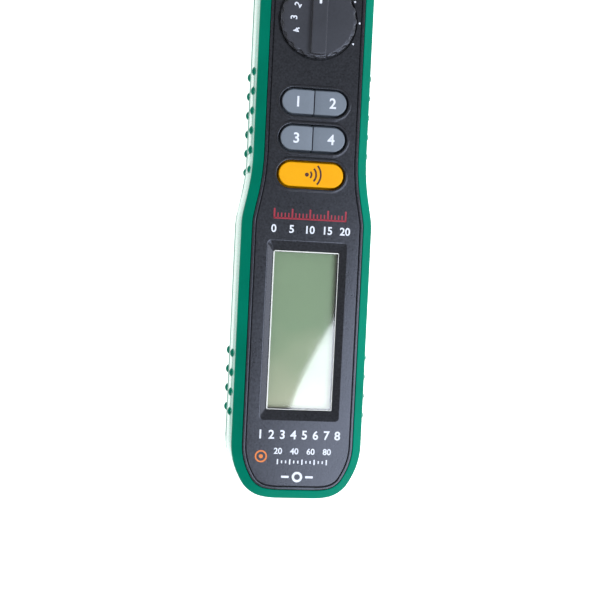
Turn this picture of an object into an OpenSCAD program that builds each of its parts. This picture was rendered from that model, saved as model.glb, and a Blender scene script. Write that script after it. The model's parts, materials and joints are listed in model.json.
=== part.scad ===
// Pen-type multimeter lying on its back: the probe points along +Y and the face looks up along +Z.
// Inside this file y runs from 0 at the socket end, and centred() moves the whole to its origin.

/* [Layout along the casing] */
// Distance from the socket end to the window's near edge
end_l = 22.4; // [22.2:0.1:26]
// Distance from the window's far edge to the middle of the first key
key_space = 18.5; // [18.3:0.1:24]
// Spacing of the key rows
key_pitch = 10; // [9.8:0.1:10.6]
// Distance from the middle of the last key row to the knob
knob_space = 12.2; // [11.5:0.1:16]
// Distance from the knob to the lamp
lamp_space = 4.7; // [4.5:0.1:8]
// Distance from the lamp to the far end of the face plate
lamp_margin = 3.4; // [3.2:0.1:6]
// Distance from the face plate to the finger guard's straight edge
guard_space = 2.5; // [2.3:0.1:4]
// Length of the finger guard's straight edge
guard_l = 5.5; // [5:0.1:8]
// Length of the taper from the guard to the nose end
taper_l = 8; // [7.8:0.1:12]

/* [Casing] */
// Width of the display end, at the front edge
head_w = 36.8; // [36.4:0.2:39]
// Width of the waist, at the front edge
waist_w = 32; // [31.8:0.1:33]
// Width across the finger guard
guard_w = 38; // [36:0.5:42]
// Width of the flat nose end
nose_end_w = 19; // [18.6:0.1:21]
// Thickness of the casing, from its back to its face
case_t = 25.5; // [25.3:0.1:27]
// Height of the parting line above the back
parting_z = 12.5; // [12.3:0.1:13]
// Wall thickness of both casing halves
wall = 2; // [1.8:0.1:2.1]
// How far the side walls swell out at the parting line
side_swell = 0.6; // [0.2:0.1:1]
// Width of the sloped band round the face
band_w = 2.8; // [2.6:0.1:3]
// Drop of the sloped band from the face to the side wall
band_drop = 2.3; // [1.6:0.1:2.5]
// Radius that rounds the edges of the back
back_round = 2.4; // [1.5:0.1:3]
// How far the back rises at the waist
waist_lift = 2.2; // [0.5:0.1:2.4]
// How far the finger guard stands above the face
guard_rise = 2; // [0.5:0.1:2.5]

/* [Grip studs] */
// Radius of the sphere that each stud is a cap of
stud_r = 1.5; // [1.4:0.05:1.8]
// How far a stud stands out of the side wall
stud_h = 0.7; // [0.3:0.05:0.8]
// Spacing of the studs along the casing
stud_pitch = 5.5; // [4:0.1:5.8]
// Height of each row of studs from the parting line
stud_row_z = 6; // [4:0.1:6.2]
// Number of studs in each row at the display end
head_studs = 4; // [2:1:6]
// Number of studs in each row at the waist
waist_studs = 6; // [2:1:8]

/* [Face plate and window] */
// Thickness of the face plate
plate_t = 2.2; // [2:0.1:2.5]
// Gap between the face plate and the casing frame
plate_gap = 0.15; // [0.1:0.05:0.25]
// Width of the window pane
window_w = 18.4; // [17:0.1:19]
// Length of the window pane
window_l = 44.3; // [42:0.1:45.5]
// Width of the window's sloped sides
bezel_side = 1.85; // [1.4:0.05:2.2]
// Width of the window's sloped ends
bezel_end = 2.75; // [2:0.05:3.2]
// Depth of the window pane below the face
window_drop = 1.2; // [0.8:0.1:1.2]
// Thickness of the window pane
pane_t = 1; // [0.8:0.1:1.1]

/* [Keys] */
// Length of a pill key
key_l = 18; // [16:0.1:18.6]
// Width of a pill key
key_w = 6.6; // [6:0.1:6.8]
// Gap between a key and its hole
key_gap = 0.6; // [0.4:0.05:0.7]
// Travel of a key
key_travel = 0.5; // [0.3:0.05:0.6]
// How far a key stands above the face
key_proud = 0.75; // [0.5:0.05:1.5]
// Width of the raised collar round a key hole
collar_w = 0.75; // [0.5:0.05:0.9]
// Height of the raised collar
collar_h = 0.35; // [0.2:0.05:0.45]

/* [Function knob] */
// Diameter of the knob
knob_d = 21; // [18:0.5:21.5]
// Height of the knob's disc above the face
knob_h = 1.8; // [1.2:0.1:2.4]
// Height of the grip bar above the disc
grip_h = 1.7; // [1:0.1:2.5]
// Width of the grip bar
grip_w = 4.2; // [3:0.1:5]
// Diameter of the knob's shaft
shaft_d = 7.8; // [7:0.1:8]
// Number of finger scallops round the knob
scallops = 20; // [12:1:28]

/* [Board and display] */
// Depth of the board's top below the face
board_drop = 6.9; // [6.8:0.1:7.2]
// Thickness of the board
board_t = 1.6; // [1.2:0.1:1.6]
// How far the LCD glass reaches past the sides of the pane
lcd_side = 1.5; // [1.2:0.1:1.6]
// How far the LCD glass reaches past the ends of the pane
lcd_end = 1.75; // [1.2:0.05:1.9]
// Thickness of the LCD glass
lcd_t = 2; // [1.6:0.1:2.2]

/* [Cells] */
// Diameter of a cell
cell_d = 10.5; // [10.1:0.1:10.6]
// Length of a cell with its nub
cell_l = 44.5; // [44:0.1:44.7]
// Thickness of the battery cover
cover_t = 1.8; // [1.6:0.1:2]

/* [Socket] */
// Bore of the socket contact
socket_bore_d = 4; // [3.9:0.05:4.1]
// Outer diameter of the socket contact
contact_d = 5.7; // [5.4:0.1:5.8]
// Outer diameter of the socket insulator
socket_d = 9.2; // [8.8:0.1:9.4]

/* [Probe] */
// Length of the nose cone outside the casing
nose_l = 20; // [16:0.5:24]
// Diameter of the nose cone where it leaves the casing
nose_d = 13.6; // [13:0.1:13.8]
// Length of the red sleeve outside the nose cone
sleeve_l = 8; // [4:0.5:14]
// Diameter of the red sleeve
sleeve_d = 3.8; // [3.2:0.1:4.2]
// Length of the bare probe tip
tip_l = 11.4; // [4:0.1:16]
// Diameter of the bare probe tip
pin_d = 2; // [1.6:0.1:2.2]

/* [Hidden] */
$fn = 48;
// One overrun serves every cut
over = 1;
// Steps in each rounded corner of an outline
arc_steps = 6;
// Longest straight step of an outline, and past the face plate, where the height changes
edge_step = 5.2;
fine_step = 1.5;
// Small gap between fixed pieces that only touch
fit = 0.05;

// Places along the casing, each from its neighbour
window_y = end_l + bezel_end + window_l / 2;
window_end_y = window_y + window_l / 2 + bezel_end;
key_rows = [window_end_y + key_space, window_end_y + key_space + key_pitch,
    window_end_y + key_space + 2 * key_pitch];
knob_y = key_rows[2] + knob_space + knob_d / 2;
lamp_y = knob_y + knob_d / 2 + lamp_space;
face_end_y = lamp_y + lamp_margin;
guard_y = face_end_y + guard_space;
guard_end_y = guard_y + guard_l;
case_l = guard_end_y + taper_l;
// Where the casing narrows to the waist and widens again to the guard
shoulder_y = window_end_y + 5.8;
waist_y = key_rows[0] - 0.2;
waist_end_y = knob_y + knob_d / 2 + 2.1;

// Outline of the casing, seen from the front
end_flat = head_w / 2 - 11.9;
end_flat_r = 22;
end_corner_x = head_w / 2 - 5.2;
end_corner_y = 0.9;
end_corner_r = 9;
end_side_y = 10.4;
end_side_r = 20;
shoulder_r = 20;
waist_r = 60;
guard_foot_r = 25;
guard_r = 5;
nose_corner_r = 4;
face_corner_r = 7;
guard_top_start = 1;
guard_top_peak = 4.5;
guard_top_flat = 0.5;
nose_top_drop = 2.4;
nose_back_rise = 2.4;

// How much of the swell is left at the studs' height
swell_share = 0.75;
// Where the studs start
head_stud_y = end_l + 1.15;
waist_stud_y = key_rows[0] + 1.1;

// Casing halves
floor_t = 2;
lip_t = 2.5;
joint_lip_w = 1;
joint_lip_h = 1.2;
joint_gap = 0.1;

// Face plate
flange_t = 1.2;
flange_gap = 0.1;
rim_w = 1.7;
rim_line_inset = 0.9;
rim_line_w = 0.2;
rim_line_d = 0.12;
bezel_r = 1.2;
pane_r = 0.8;
pane_gap = 0.12;
pane_ledge = 0.35;
pane_seat_t = 0.8;
pane_seat_w = 1.9;
knob_well_gap = 0.5;
knob_well_d = 0.8;
knob_float = 0.2;
bearing_wall = 2.2;
bearing_h = 1.8;
running_gap = 0.05;
lamp_d = 3;
lamp_gap = 0.1;
lamp_proud = 0.9;
lamp_leg_d = 0.5;
lamp_leg_x = 0.9;
lamp_leg_h = 2;

// Case screws and their bosses
screw_d = 2.4;
screw_play = 0.15;
pilot_play = 0.05;
screw_head_d = 4.4;
screw_head_h = 1.8;
screw_head_play = 0.15;
screw_seat_z = 5.6;
screw_reach = 14.4;
case_boss_d = 5.6;
rear_boss_d = 6.6;
boss_gap = 0.1;
end_screw_x = head_w / 2 - 6.4;
end_screw_y = end_l - 10.6;
waist_screw_x = waist_w / 2 - 5.8;
waist_screw_y = key_rows[2] + 7.8;
slot_w = 0.6;
slot_d = 0.7;

// Board, its posts and its screws
board_y = end_l - 1.6;
board_end_y = lamp_y + 1.9;
board_neck_y = shoulder_y - 1;
board_head_w = head_w - 5.6;
board_waist_w = waist_w - 6.4;
post_d = 3.6;
board_screw_d = 1.6;
board_screw_head_d = 3.2;
board_screw_head_h = 1.1;
board_screw_reach = 4.2;
board_play = 0.3;
post_head_x = head_w / 2 - 4.8;
post_head_y = end_l + 1.4;
post_neck_x = waist_w / 2 - 5;
post_neck_y = key_rows[0] - 6.7;
post_end_x = waist_w / 2 - 6.6;
post_end_y = lamp_y - 1.6;

// Display parts
lcd_w = window_w + 2 * lcd_side;
lcd_l = window_l + 2 * lcd_end;
lcd_gap = 0.55;
lcd_play = 0.15;
holder_wall = 0.75;
holder_top = 0.4;
strip_w = 1.6;
strip_x = 9.4;
strip_play = 0.1;
holder_ledge_x = 7.9;
strip_end = 2.4;

// Keys and switches
key_flange_w = 0.8;
key_flange_t = 0.8;
key_flange_gap = 0.2;
split_gap = 0.3;
split_slope_w = 1.9;
split_slope_d = 0.4;
stem_d = 2.9;
stem_l = 1.8;
half_key_x = 4.6;
switch_w = 5.4;
switch_h = 3;
switch_wall_t = 0.6;
dome_h = 0.6;
dome_play = 0.3;
stem_play = 0.25;

// Knob, rotor and detent
grip_end_gap = 0.7;
grip_foot = 0.3;
scallop_d = 2.4;
scallop_share = 0.5;
knob_screw_d = 1.8;
knob_screw_head_d = 4.8;
knob_screw_head_h = 1.2;
knob_screw_reach = 4.4;
rotor_d = 17.6;
rotor_t = 2.2;
rotor_gap = 0.3;
rotor_floor_t = 0.6;
wiper_r = 6.4;
wiper_l = 3;
wiper_w = 1.2;
wiper_count = 3;
ball_d = 1.2;
ball_r = 8.95;
ball_play = 0.05;
detent_coil_d = 0.9;
detent_wire_d = 0.25;
detent_turns = 5;
detent_ring_in_d = 19.2;
detent_ring_d = 22.4;
notch_d = 1.6;
notch_sink = 0.5;
notch_pitch = 30;

// Small board parts
chip_d = 11;
chip_t = 1.2;
chip_y = window_y + 2.4;
buzzer_d = 13;
buzzer_h = 3;
buzzer_y = key_rows[0] + 8.2;
fuse_d = 4.6;
fuse_l = 20;
fuse_cap_d = 5.2;
fuse_cap_l = 5;
fuse_x = 3;
fuse_y = key_rows[2] + 0.2;
fuse_clear = 0.5;
fuse_clip_w = 6.2;
fuse_clip_l = 3;
shunt_wire_d = 1.2;
shunt_span = 8;
shunt_x = -5.5;
shunt_y = key_rows[2] + 9.2;
shunt_drop = 1.5;
part_w = 2.4;
part_l = 3.6;
part_t = 1.1;
part_gap = 0.4;
plate_metal_t = 0.3;
sensor_w = 5;
sensor_x = 2.2;
sensor_y = lamp_y - 3.6;
sensor_end_y = case_l - 10;
tab_w = 3;
tab_t = 0.6;

// Battery bay, cells and cover
bay_y = end_l + 1.4;
spring_room = 6.7;
bay_wall = 1.4;
bay_play = 0.5;
cell_gap = 0.7;
cell_lift = 0.3;
cell_nub_d = 3.8;
cell_nub_h = 0.8;
cell_plate_t = 0.4;
cell_plate_w = 8;
coil_d = 6.4;
coil_wire_d = 0.7;
coil_turns = 4;
coil_sides = 6;
coil_rings_a_turn = 8;
bay_l = cell_l + 2 * cell_plate_t + spring_room;
bay_end_y = bay_y + bay_l;
bay_w = 2 * cell_d + cell_gap + 2 * bay_play;
cover_w = bay_w + 4.1;
cover_y = bay_y - 2.4;
cover_end_y = bay_end_y + 11.4;
cover_r = 3;
cover_gap = 0.15;
cover_ledge_t = 1.5;
cover_ledge_w = 1;
cover_screw_y = bay_end_y + 7.4;
cover_boss_d = 7.2;
cover_boss_h = 2.4;
cover_boss_gap = 0.2;
cover_seat_z = 2.6;
cover_post_wall = 1.4;
cover_post_h = 9.5;
cover_screw_reach = 5.6;
cover_peg_d = 1.6;
cover_peg_h = 1.4;
cover_peg_x = 8.5;
cover_peg_y = bay_y - 1.1;
cover_grip_l = 9;
cover_grip_w = 0.9;
cover_grip_d = 0.45;
cover_grip_pitch = 1.9;
cover_grip_y = bay_y + 6;
cover_grips = 5;
// The back starts to arch past the cover
lift_start_y = cover_end_y + 3;

// Socket
socket_face = 0.3;
socket_l = board_y - 2 * socket_face;
socket_mouth_d = 7;
socket_mouth_l = 7.2;
socket_flange_d = 11.4;
socket_flange_t = 1.2;
socket_hole_gap = 0.05;
contact_end_t = 1.5;
contact_tail = 0.7;

// Nose and probe
nose_hole_gap = 0.1;
nose_flange_d = 16.6;
nose_flange_t = 1.6;
nose_flange_y = guard_end_y + 0.2;
nose_collar_d = 15;
nose_collar_t = 1.5;
nose_tip_d = 5.8;
nose_rib_h = 0.35;
nose_ribs = 4;
nose_rib_w = 0.8;
nose_mid_share = 0.55;
nose_mid_d = 9.6;
pin_cone_l = 3.5;
pin_point_d = 0.3;
pin_tail = 2.2;
shank_d = 2.4;
sleeve_seat_l = 5;

// Heights and lengths that follow from the sizes above
total_l = case_l + nose_l + sleeve_l + tip_l;
plate_z = case_t - plate_t;
flange_top_z = case_t - lip_t;
flange_z = flange_top_z - flange_t;
board_z = case_t - board_drop;
board_under_z = board_z - board_t;
pane_z = case_t - window_drop - pane_t;
pane_seat_z = pane_z - pane_seat_t;
lcd_top_z = pane_seat_z - lcd_gap;
lcd_z = lcd_top_z - lcd_t;
knob_z = case_t - knob_well_d + knob_float;
knob_top_z = case_t + knob_h + grip_h;
bearing_z = plate_z - bearing_h;
rotor_top_z = bearing_z - rotor_gap;
rotor_z = rotor_top_z - rotor_t;
shaft_end_z = rotor_z + rotor_floor_t + fit;
spring_seat_r = shaft_d / 2 + 2 * fit;
detent_spring_l = ball_r - ball_d / 2 - spring_seat_r;
key_hole_l = key_l + 2 * key_gap;
key_hole_w = key_w + 2 * key_gap;
key_flange_top_z = plate_z - key_flange_gap;
key_flange_z = key_flange_top_z - key_flange_t;
key_top_z = case_t + key_proud;
cell_z = cover_t + cell_lift + cell_d / 2;
cell_x = (cell_d + cell_gap) / 2;
bay_top_z = cell_z + cell_d / 2 + cell_lift;
contact_y = socket_face + socket_mouth_l;
contact_end_y = board_y + contact_tail;
tip_y = case_l + nose_l + sleeve_l;

// Corners of the right-hand outline from the socket end up, each [x, y, corner radius].
// The first and last entries only give the direction of the end edges.
side_corners = [
    [0, 0, 0],
    [end_flat, 0, end_flat_r],
    [end_corner_x, end_corner_y, end_corner_r],
    [head_w / 2, end_side_y, end_side_r],
    [head_w / 2, shoulder_y, shoulder_r],
    [waist_w / 2, waist_y, waist_r],
];
case_corners = concat(side_corners, [
    [waist_w / 2, waist_end_y, guard_foot_r],
    [guard_w / 2, guard_y, guard_r],
    [guard_w / 2, guard_end_y, guard_r],
    [nose_end_w / 2, case_l, nose_corner_r],
    [0, case_l, 0],
]);
face_corners = concat(side_corners, [
    [waist_w / 2, face_end_y + band_w, face_corner_r],
    [0, face_end_y + band_w, 0],
]);
case_half = half_outline(case_corners);
face_half = half_outline(face_corners);
case_screw_places = [[end_screw_x, end_screw_y], [waist_screw_x, waist_screw_y]];
board_post_places = [[post_head_x, post_head_y], [post_neck_x, post_neck_y], [post_end_x, post_end_y]];
// Places of the small parts on the board, each from its neighbour
part_far_x = post_neck_x - post_d / 2 - part_w / 2 - part_gap;
board_part_places = [[-part_far_x, window_y + chip_d + part_l / 2], [part_far_x, window_y + chip_d + part_l],
    [-part_far_x, key_rows[0] - part_l - part_gap], [part_far_x, key_rows[0] - part_l],
    [-part_far_x, key_rows[2]], [part_far_x, knob_y + part_l],
    [fuse_x, fuse_y - part_l / 2 - part_gap], [-fuse_x, knob_y + 2 * part_l]];

// The first two numbers of a corner
function place(corner) = [corner[0], corner[1]];
// A vector of length one along v
function unit(v) = v / norm(v);
// Outward normal of the edge from a to b, where the outline runs anticlockwise
function outward(a, b) = let (d = unit(b - a)) [d[1], -d[0]];
// The plane vector v turned by an angle
function turned(v, angle) = [v[0] * cos(angle) - v[1] * sin(angle), v[0] * sin(angle) + v[1] * cos(angle)];
// The rounded corner at c, between a and b, as pairs of a point and its outward normal
function corner_arc(a, c, b, r) =
    let (
        n1 = outward(a, c),
        n2 = outward(c, b),
        turn = atan2(cross(n1, n2), n1 * n2),
        side = sign(turn),
        centre = c - side * r * (n1 + n2) / (1 + n1 * n2)
    )
    [for (i = [0:arc_steps]) let (m = turned(n1, turn * i / arc_steps)) [centre + side * r * m, m]];
// Pairs along the straight edge from pair p to pair q, without its ends
function edge_pairs(p, q) =
    let (count = ceil(norm(q[0] - p[0]) / (q[0][1] > waist_end_y + over ? fine_step : edge_step)))
    [for (i = [1:1:count - 1]) [p[0] + (q[0] - p[0]) * i / count, p[1]]];
// All the pairs of a right-hand outline
function half_outline(corners) =
    let (arcs = [for (i = [1:len(corners) - 2])
        corner_arc(place(corners[i - 1]), place(corners[i]), place(corners[i + 1]), corners[i][2])])
    [for (i = [0:len(arcs) - 1])
        each (i < len(arcs) - 1
            ? concat(arcs[i], edge_pairs(arcs[i][arc_steps], arcs[i + 1][0]))
            : arcs[i])];
// The whole closed outline, moved inwards by an inset
function ring(half, inset) =
    let (right = [for (p = half) p[0] - inset * p[1]])
    concat(right, [for (i = [len(right) - 1:-1:0]) [-right[i][0], right[i][1]]]);
// A smooth step from 0 to 1 as t goes from 0 to 1
function ease(t) = let (s = min(max(t, 0), 1)) s * s * (3 - 2 * s);
// Height of the casing's front at y: the face, the guard's ridge, then the fall to the nose
function front_z(y) =
    case_t
    + guard_rise * ease((y - face_end_y - guard_top_start) / guard_top_peak)
    - (guard_rise + nose_top_drop) * ease((y - guard_end_y - guard_top_flat) / (taper_l - guard_top_flat));
// Height of the casing's back at y: flat under the display, arched at the waist, rising to the nose
function back_z(y) =
    let (span = face_end_y - lift_start_y, t = (y - lift_start_y) / span)
    (t > 0 && t < 1 ? waist_lift * pow(sin(180 * t), 2) : 0)
    + nose_back_rise * ease((y - guard_end_y) / taper_l);
// The casing's outline at an inset, between the parting line (share 0) and the front less a drop (share 1)
function front_ring(inset, share, drop) =
    [for (p = ring(case_half, inset)) [p[0], p[1], parting_z + share * (front_z(p[1]) - drop - parting_z)]];
// The casing's outline at an inset, at a height over the back
function back_ring(inset, height) = [for (p = ring(case_half, inset)) [p[0], p[1], back_z(p[1]) + height]];
// The casing's outline at an inset and a fixed height
function level_ring(inset, z) = [for (p = ring(case_half, inset)) [p[0], p[1], z]];

// Moves everything from the socket end's frame to the origin in the middle of the footprint
module centred() {
    translate([0, (side_swell - total_l) / 2, 0]) children();
}

// A closed skin over rings of equal length, each running anticlockwise, stacked upwards
module loft(rings) {
    n = len(rings[0]);
    top = (len(rings) - 1) * n;
    sides = [for (k = [0:len(rings) - 2], i = [0:n - 1])
        let (a = k * n + i, b = k * n + (i + 1) % n)
        each [[a, a + n, b + n], [a, b + n, b]]];
    caps = [for (i = [0:n / 2 - 2])
        each [
            [i, i + 1, n - 2 - i], [i, n - 2 - i, n - 1 - i],
            [top + n - 1 - i, top + n - 2 - i, top + i + 1], [top + n - 1 - i, top + i + 1, top + i],
        ]];
    polyhedron(points = [for (r = rings) each r], faces = concat(sides, caps));
}

// A flat plate of an outline, between two heights
module slab(outline, z, z_top) {
    translate([0, 0, z]) linear_extrude(z_top - z) polygon(outline);
}

// A cylinder along +Y from a point
module rod(x, y, z, d, l) {
    translate([x, y, z]) rotate([-90, 0, 0]) cylinder(h = l, d = d);
}

// A cylinder along +Z from a point
module peg(x, y, z, d, h) {
    translate([x, y, z]) cylinder(h = h, d = d);
}

// A box from its middle in x and y, standing on z
module block(x, y, z, w, l, h) {
    translate([x - w / 2, y - l / 2, z]) cube([w, l, h]);
}

// A pill standing on z, with its long way across the casing
module pill(y, z, l, w, h) {
    block(0, y, z, l - w, w, h);
    for (side = [-1, 1]) peg(side * (l - w) / 2, y, z, w, h);
}

// A flat rectangle with round corners, standing on z
module round_block(y, z, w, l, r, h) {
    block(0, y, z, w - 2 * r, l, h);
    block(0, y, z, w, l - 2 * r, h);
    for (sx = [-1, 1], sy = [-1, 1]) peg(sx * (w / 2 - r), y + sy * (l / 2 - r), z, 2 * r, h);
}

// Both rows of studs at one height, sunk in the side walls
module studs(z) {
    sink = stud_r - stud_h - swell_share * side_swell;
    for (side = [-1, 1]) {
        for (i = [0:head_studs - 1])
            translate([side * (head_w / 2 - sink), head_stud_y + i * stud_pitch, z]) sphere(stud_r);
        for (i = [0:waist_studs - 1])
            translate([side * (waist_w / 2 - sink), waist_stud_y + i * stud_pitch, z]) sphere(stud_r);
    }
}

// Holes in the casing's two ends, shared by both halves
module end_holes() {
    rod(0, -over, parting_z, socket_d + 2 * socket_hole_gap, wall + 2 * over);
    rod(0, case_l - wall - over, parting_z, nose_d + 2 * nose_hole_gap, wall + 2 * over);
}

// Green front half: side walls, sloped band, finger guard
module front_frame() {
    color("seagreen") difference() {
        union() {
            loft([
                level_ring(-side_swell, parting_z),
                level_ring(-swell_share * side_swell, parting_z + stud_row_z),
                front_ring(0, 1, band_drop),
                front_ring(band_w, 1, 0),
            ]);
            studs(parting_z + stud_row_z);
        }
        loft([level_ring(wall, parting_z - over), front_ring(wall, 1, lip_t)]);
        slab(ring(face_half, band_w), flange_top_z - over, case_t + guard_rise + over);
        slab(ring(case_half, wall - joint_lip_w - joint_gap), parting_z - over, parting_z + joint_lip_h + joint_gap);
        end_holes();
    }
}

// Walls, ledges and bosses inside the rear half
module rear_fittings() {
    ledge_top_z = cover_t + cover_gap + cover_ledge_t;
    ledge_w = cover_w + 2 * cover_gap + 2 * cover_ledge_w;
    ledge_l = cover_end_y - cover_y + 2 * cover_gap + 2 * cover_ledge_w;
    block(0, (cover_y + cover_end_y) / 2, floor_t / 2, ledge_w, ledge_l, ledge_top_z - floor_t / 2);
    block(0, bay_y + bay_l / 2, floor_t, bay_w + 2 * bay_wall, bay_l + 2 * bay_wall, bay_top_z + bay_wall - floor_t);
    for (p = case_screw_places, side = [-1, 1])
        peg(side * p[0], p[1], back_z(p[1]) + floor_t / 2, rear_boss_d,
            parting_z - boss_gap - back_z(p[1]) - floor_t / 2);
    peg(0, cover_screw_y, floor_t, cover_boss_d + 2 * cover_boss_gap + 2 * cover_post_wall, cover_post_h - floor_t);
}

// Green rear half: back, side walls, battery bay
module rear_shell() {
    color("seagreen") difference() {
        union() {
            difference() {
                union() {
                    loft([
                        back_ring(back_round, 0),
                        for (a = [30, 60, 90]) back_ring(back_round * (1 - sin(a)), back_round * (1 - cos(a))),
                        level_ring(-swell_share * side_swell, parting_z - stud_row_z),
                        level_ring(-side_swell, parting_z),
                    ]);
                    studs(parting_z - stud_row_z);
                    slab(ring(case_half, wall - joint_lip_w), parting_z - over, parting_z + joint_lip_h);
                }
                loft([back_ring(wall, floor_t), level_ring(wall, parting_z + joint_lip_h + over)]);
            }
            rear_fittings();
        }
        block(0, bay_y + bay_l / 2, -over, bay_w, bay_l, bay_top_z + over);
        round_block((cover_y + cover_end_y) / 2, -over, cover_w + 2 * cover_gap,
            cover_end_y - cover_y + 2 * cover_gap, cover_r, cover_t + cover_gap + over);
        for (p = case_screw_places, side = [-1, 1]) {
            peg(side * p[0], p[1], -over, screw_head_d + 2 * screw_head_play, screw_seat_z + over);
            peg(side * p[0], p[1], 0, screw_d + 2 * screw_play, parting_z + over);
        }
        peg(0, cover_screw_y, 0, cover_boss_d + 2 * cover_boss_gap, cover_t + cover_boss_h + cover_boss_gap);
        peg(0, cover_screw_y, 0, screw_d + 2 * pilot_play, cover_seat_z + cover_screw_reach + cover_boss_gap);
        for (side = [-1, 1])
            peg(side * cover_peg_x, cover_peg_y, 0, cover_peg_d + 2 * cover_gap, cover_t + cover_peg_h + 2 * cover_gap);
        end_holes();
    }
}

// The window's opening: a sloped recess, the pane's pocket and the view hole
module window_cut() {
    hull() {
        round_block(window_y, case_t + over, window_w + 2 * bezel_side + 2 * over * bezel_side / window_drop,
            window_l + 2 * bezel_end + 2 * over * bezel_end / window_drop, bezel_r, over, $fn = 24);
        round_block(window_y, case_t - window_drop, window_w + 2 * pane_gap, window_l + 2 * pane_gap, pane_r,
            over / 10, $fn = 24);
    }
    round_block(window_y, pane_z, window_w + 2 * pane_gap, window_l + 2 * pane_gap, pane_r, window_drop);
    round_block(window_y, pane_seat_z - over, window_w - 2 * pane_ledge, window_l - 2 * pane_ledge, pane_r / 2,
        plate_t + 2 * over);
}

// Dark face plate, with posts for the board and bosses for the case screws
module face_plate() {
    color("dimgray") difference() {
        union() {
            difference() {
                union() {
                    slab(ring(face_half, band_w + plate_gap), flange_top_z, case_t);
                    slab(ring(face_half, wall + flange_gap), flange_z, flange_top_z);
                }
                slab(ring(face_half, wall + flange_gap + rim_w), flange_z - over, plate_z);
            }
            round_block(window_y, pane_seat_z, window_w + 2 * pane_seat_w, window_l + 2 * pane_seat_w, pane_r,
                plate_t);
            for (y = key_rows) pill(y, plate_z, key_hole_l + 2 * collar_w, key_hole_w + 2 * collar_w,
                plate_t + collar_h);
            peg(0, knob_y, bearing_z, shaft_d + 2 * bearing_wall, plate_t);
            for (p = board_post_places, side = [-1, 1])
                peg(side * p[0], p[1], board_z, post_d, plate_z - board_z + plate_t / 2);
            for (p = case_screw_places, side = [-1, 1])
                peg(side * p[0], p[1], parting_z, case_boss_d, plate_z - parting_z + plate_t / 2);
        }
        difference() {
            slab(ring(face_half, band_w + rim_line_inset), case_t - rim_line_d, case_t + over);
            slab(ring(face_half, band_w + rim_line_inset + rim_line_w), case_t - rim_line_d - over,
                case_t + 2 * over);
        }
        window_cut();
        for (y = key_rows) pill(y, plate_z - over, key_hole_l, key_hole_w, plate_t + collar_h + 2 * over);
        peg(0, knob_y, case_t - knob_well_d, knob_d + 2 * knob_well_gap, knob_well_d + over);
        peg(0, knob_y, bearing_z - over, shaft_d + 2 * running_gap, case_t - bearing_z + over);
        peg(0, lamp_y, plate_z - over, lamp_d + 2 * lamp_gap, plate_t + 2 * over);
        for (p = board_post_places, side = [-1, 1])
            peg(side * p[0], p[1], board_z - over, board_screw_d + 2 * pilot_play, board_screw_reach + over);
        for (p = case_screw_places, side = [-1, 1])
            peg(side * p[0], p[1], parting_z - over, screw_d + 2 * pilot_play,
                screw_seat_z + screw_reach - parting_z + 2 * over);
    }
}

// Clear pane, set in from the front
module window_pane() {
    color([0.9, 0.95, 0.95, 0.4]) round_block(window_y, pane_z, window_w, window_l, pane_r - pane_gap, pane_t);
}

module lcd_glass() {
    color("darkseagreen") block(0, window_y, lcd_z, lcd_w, lcd_l, lcd_t);
}

// Frame on the board that holds the glass and the contact strips
module lcd_holder() {
    inner_w = lcd_w + 2 * lcd_play;
    inner_l = lcd_l + 2 * lcd_play;
    slot_l = lcd_l - 2 * strip_end + 2 * strip_play;
    color("black") difference() {
        block(0, window_y, board_z, inner_w + 2 * holder_wall, inner_l + 2 * holder_wall,
            lcd_top_z - board_z - holder_top);
        block(0, window_y, lcd_z, inner_w, inner_l, lcd_t + over);
        block(0, window_y, board_z - over, 2 * holder_ledge_x, inner_l - 2 * strip_end, lcd_top_z - board_z + over);
        for (side = [-1, 1]) block(side * strip_x, window_y, board_z - over, strip_w + 2 * strip_play, slot_l,
            lcd_top_z - board_z + over);
    }
}

// Elastomer strips that join the glass to the board
module contact_strips() {
    color("gray") for (side = [-1, 1])
        block(side * strip_x, window_y, board_z, strip_w, lcd_l - 2 * strip_end, lcd_z - board_z);
}

// One whole pill key: cap, flange under the plate and plain underside
module key_body(y) {
    pill(y, key_flange_z, key_l, key_w, key_top_z - key_flange_z);
    pill(y, key_flange_z, key_hole_l + 2 * key_flange_w, key_hole_w + 2 * key_flange_w, key_flange_t);
}

// Half of a split pill key, on the side given, with its sloped inner edge and its stem
module half_key(y, side) {
    color("slategray") {
        difference() {
            key_body(y);
            translate([side > 0 ? -key_l + split_gap / 2 : -split_gap / 2, y - key_l, key_flange_z - over])
                cube([key_l, 2 * key_l, key_top_z - key_flange_z + 2 * over]);
            translate([side * split_gap / 2, y - key_l, key_top_z - split_slope_d])
                rotate([0, side * -atan(split_slope_d / split_slope_w), 0])
                    translate([side > 0 ? -over : over - key_l / 2, 0, 0]) cube([key_l / 2, 2 * key_l, over]);
        }
        peg(side * half_key_x, y, key_flange_z - stem_l, stem_d, stem_l);
    }
}

module range_key() { half_key(key_rows[2], -1); }

module hold_key() { half_key(key_rows[2], 1); }

module max_key() { half_key(key_rows[1], -1); }

module function_key() { half_key(key_rows[1], 1); }

// Yellow key of the voltage sensor
module sensing_key() {
    color("orange") {
        key_body(key_rows[0]);
        peg(0, key_rows[0], key_flange_z - stem_l, stem_d, stem_l);
    }
}

// Calls its children at each key switch's place
module at_switches() {
    translate([0, key_rows[0], 0]) children();
    for (y = [key_rows[1], key_rows[2]], side = [-1, 1]) translate([side * half_key_x, y, 0]) children();
}

module key_switches() {
    color("black") at_switches() difference() {
        block(0, 0, board_z, switch_w, switch_w, switch_h);
        peg(0, 0, board_z + switch_wall_t, stem_d + 2 * stem_play, switch_h);
    }
}

// Steel domes that the stems press on
module snap_domes() {
    color("silver") at_switches() {
        peg(0, 0, board_z + switch_wall_t, stem_d - 2 * dome_play, dome_h / 2);
        translate([0, 0, board_z + switch_wall_t + dome_h / 2])
            cylinder(h = dome_h / 2, d1 = stem_d - 2 * dome_play, d2 = stem_d / 2);
    }
}

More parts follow.
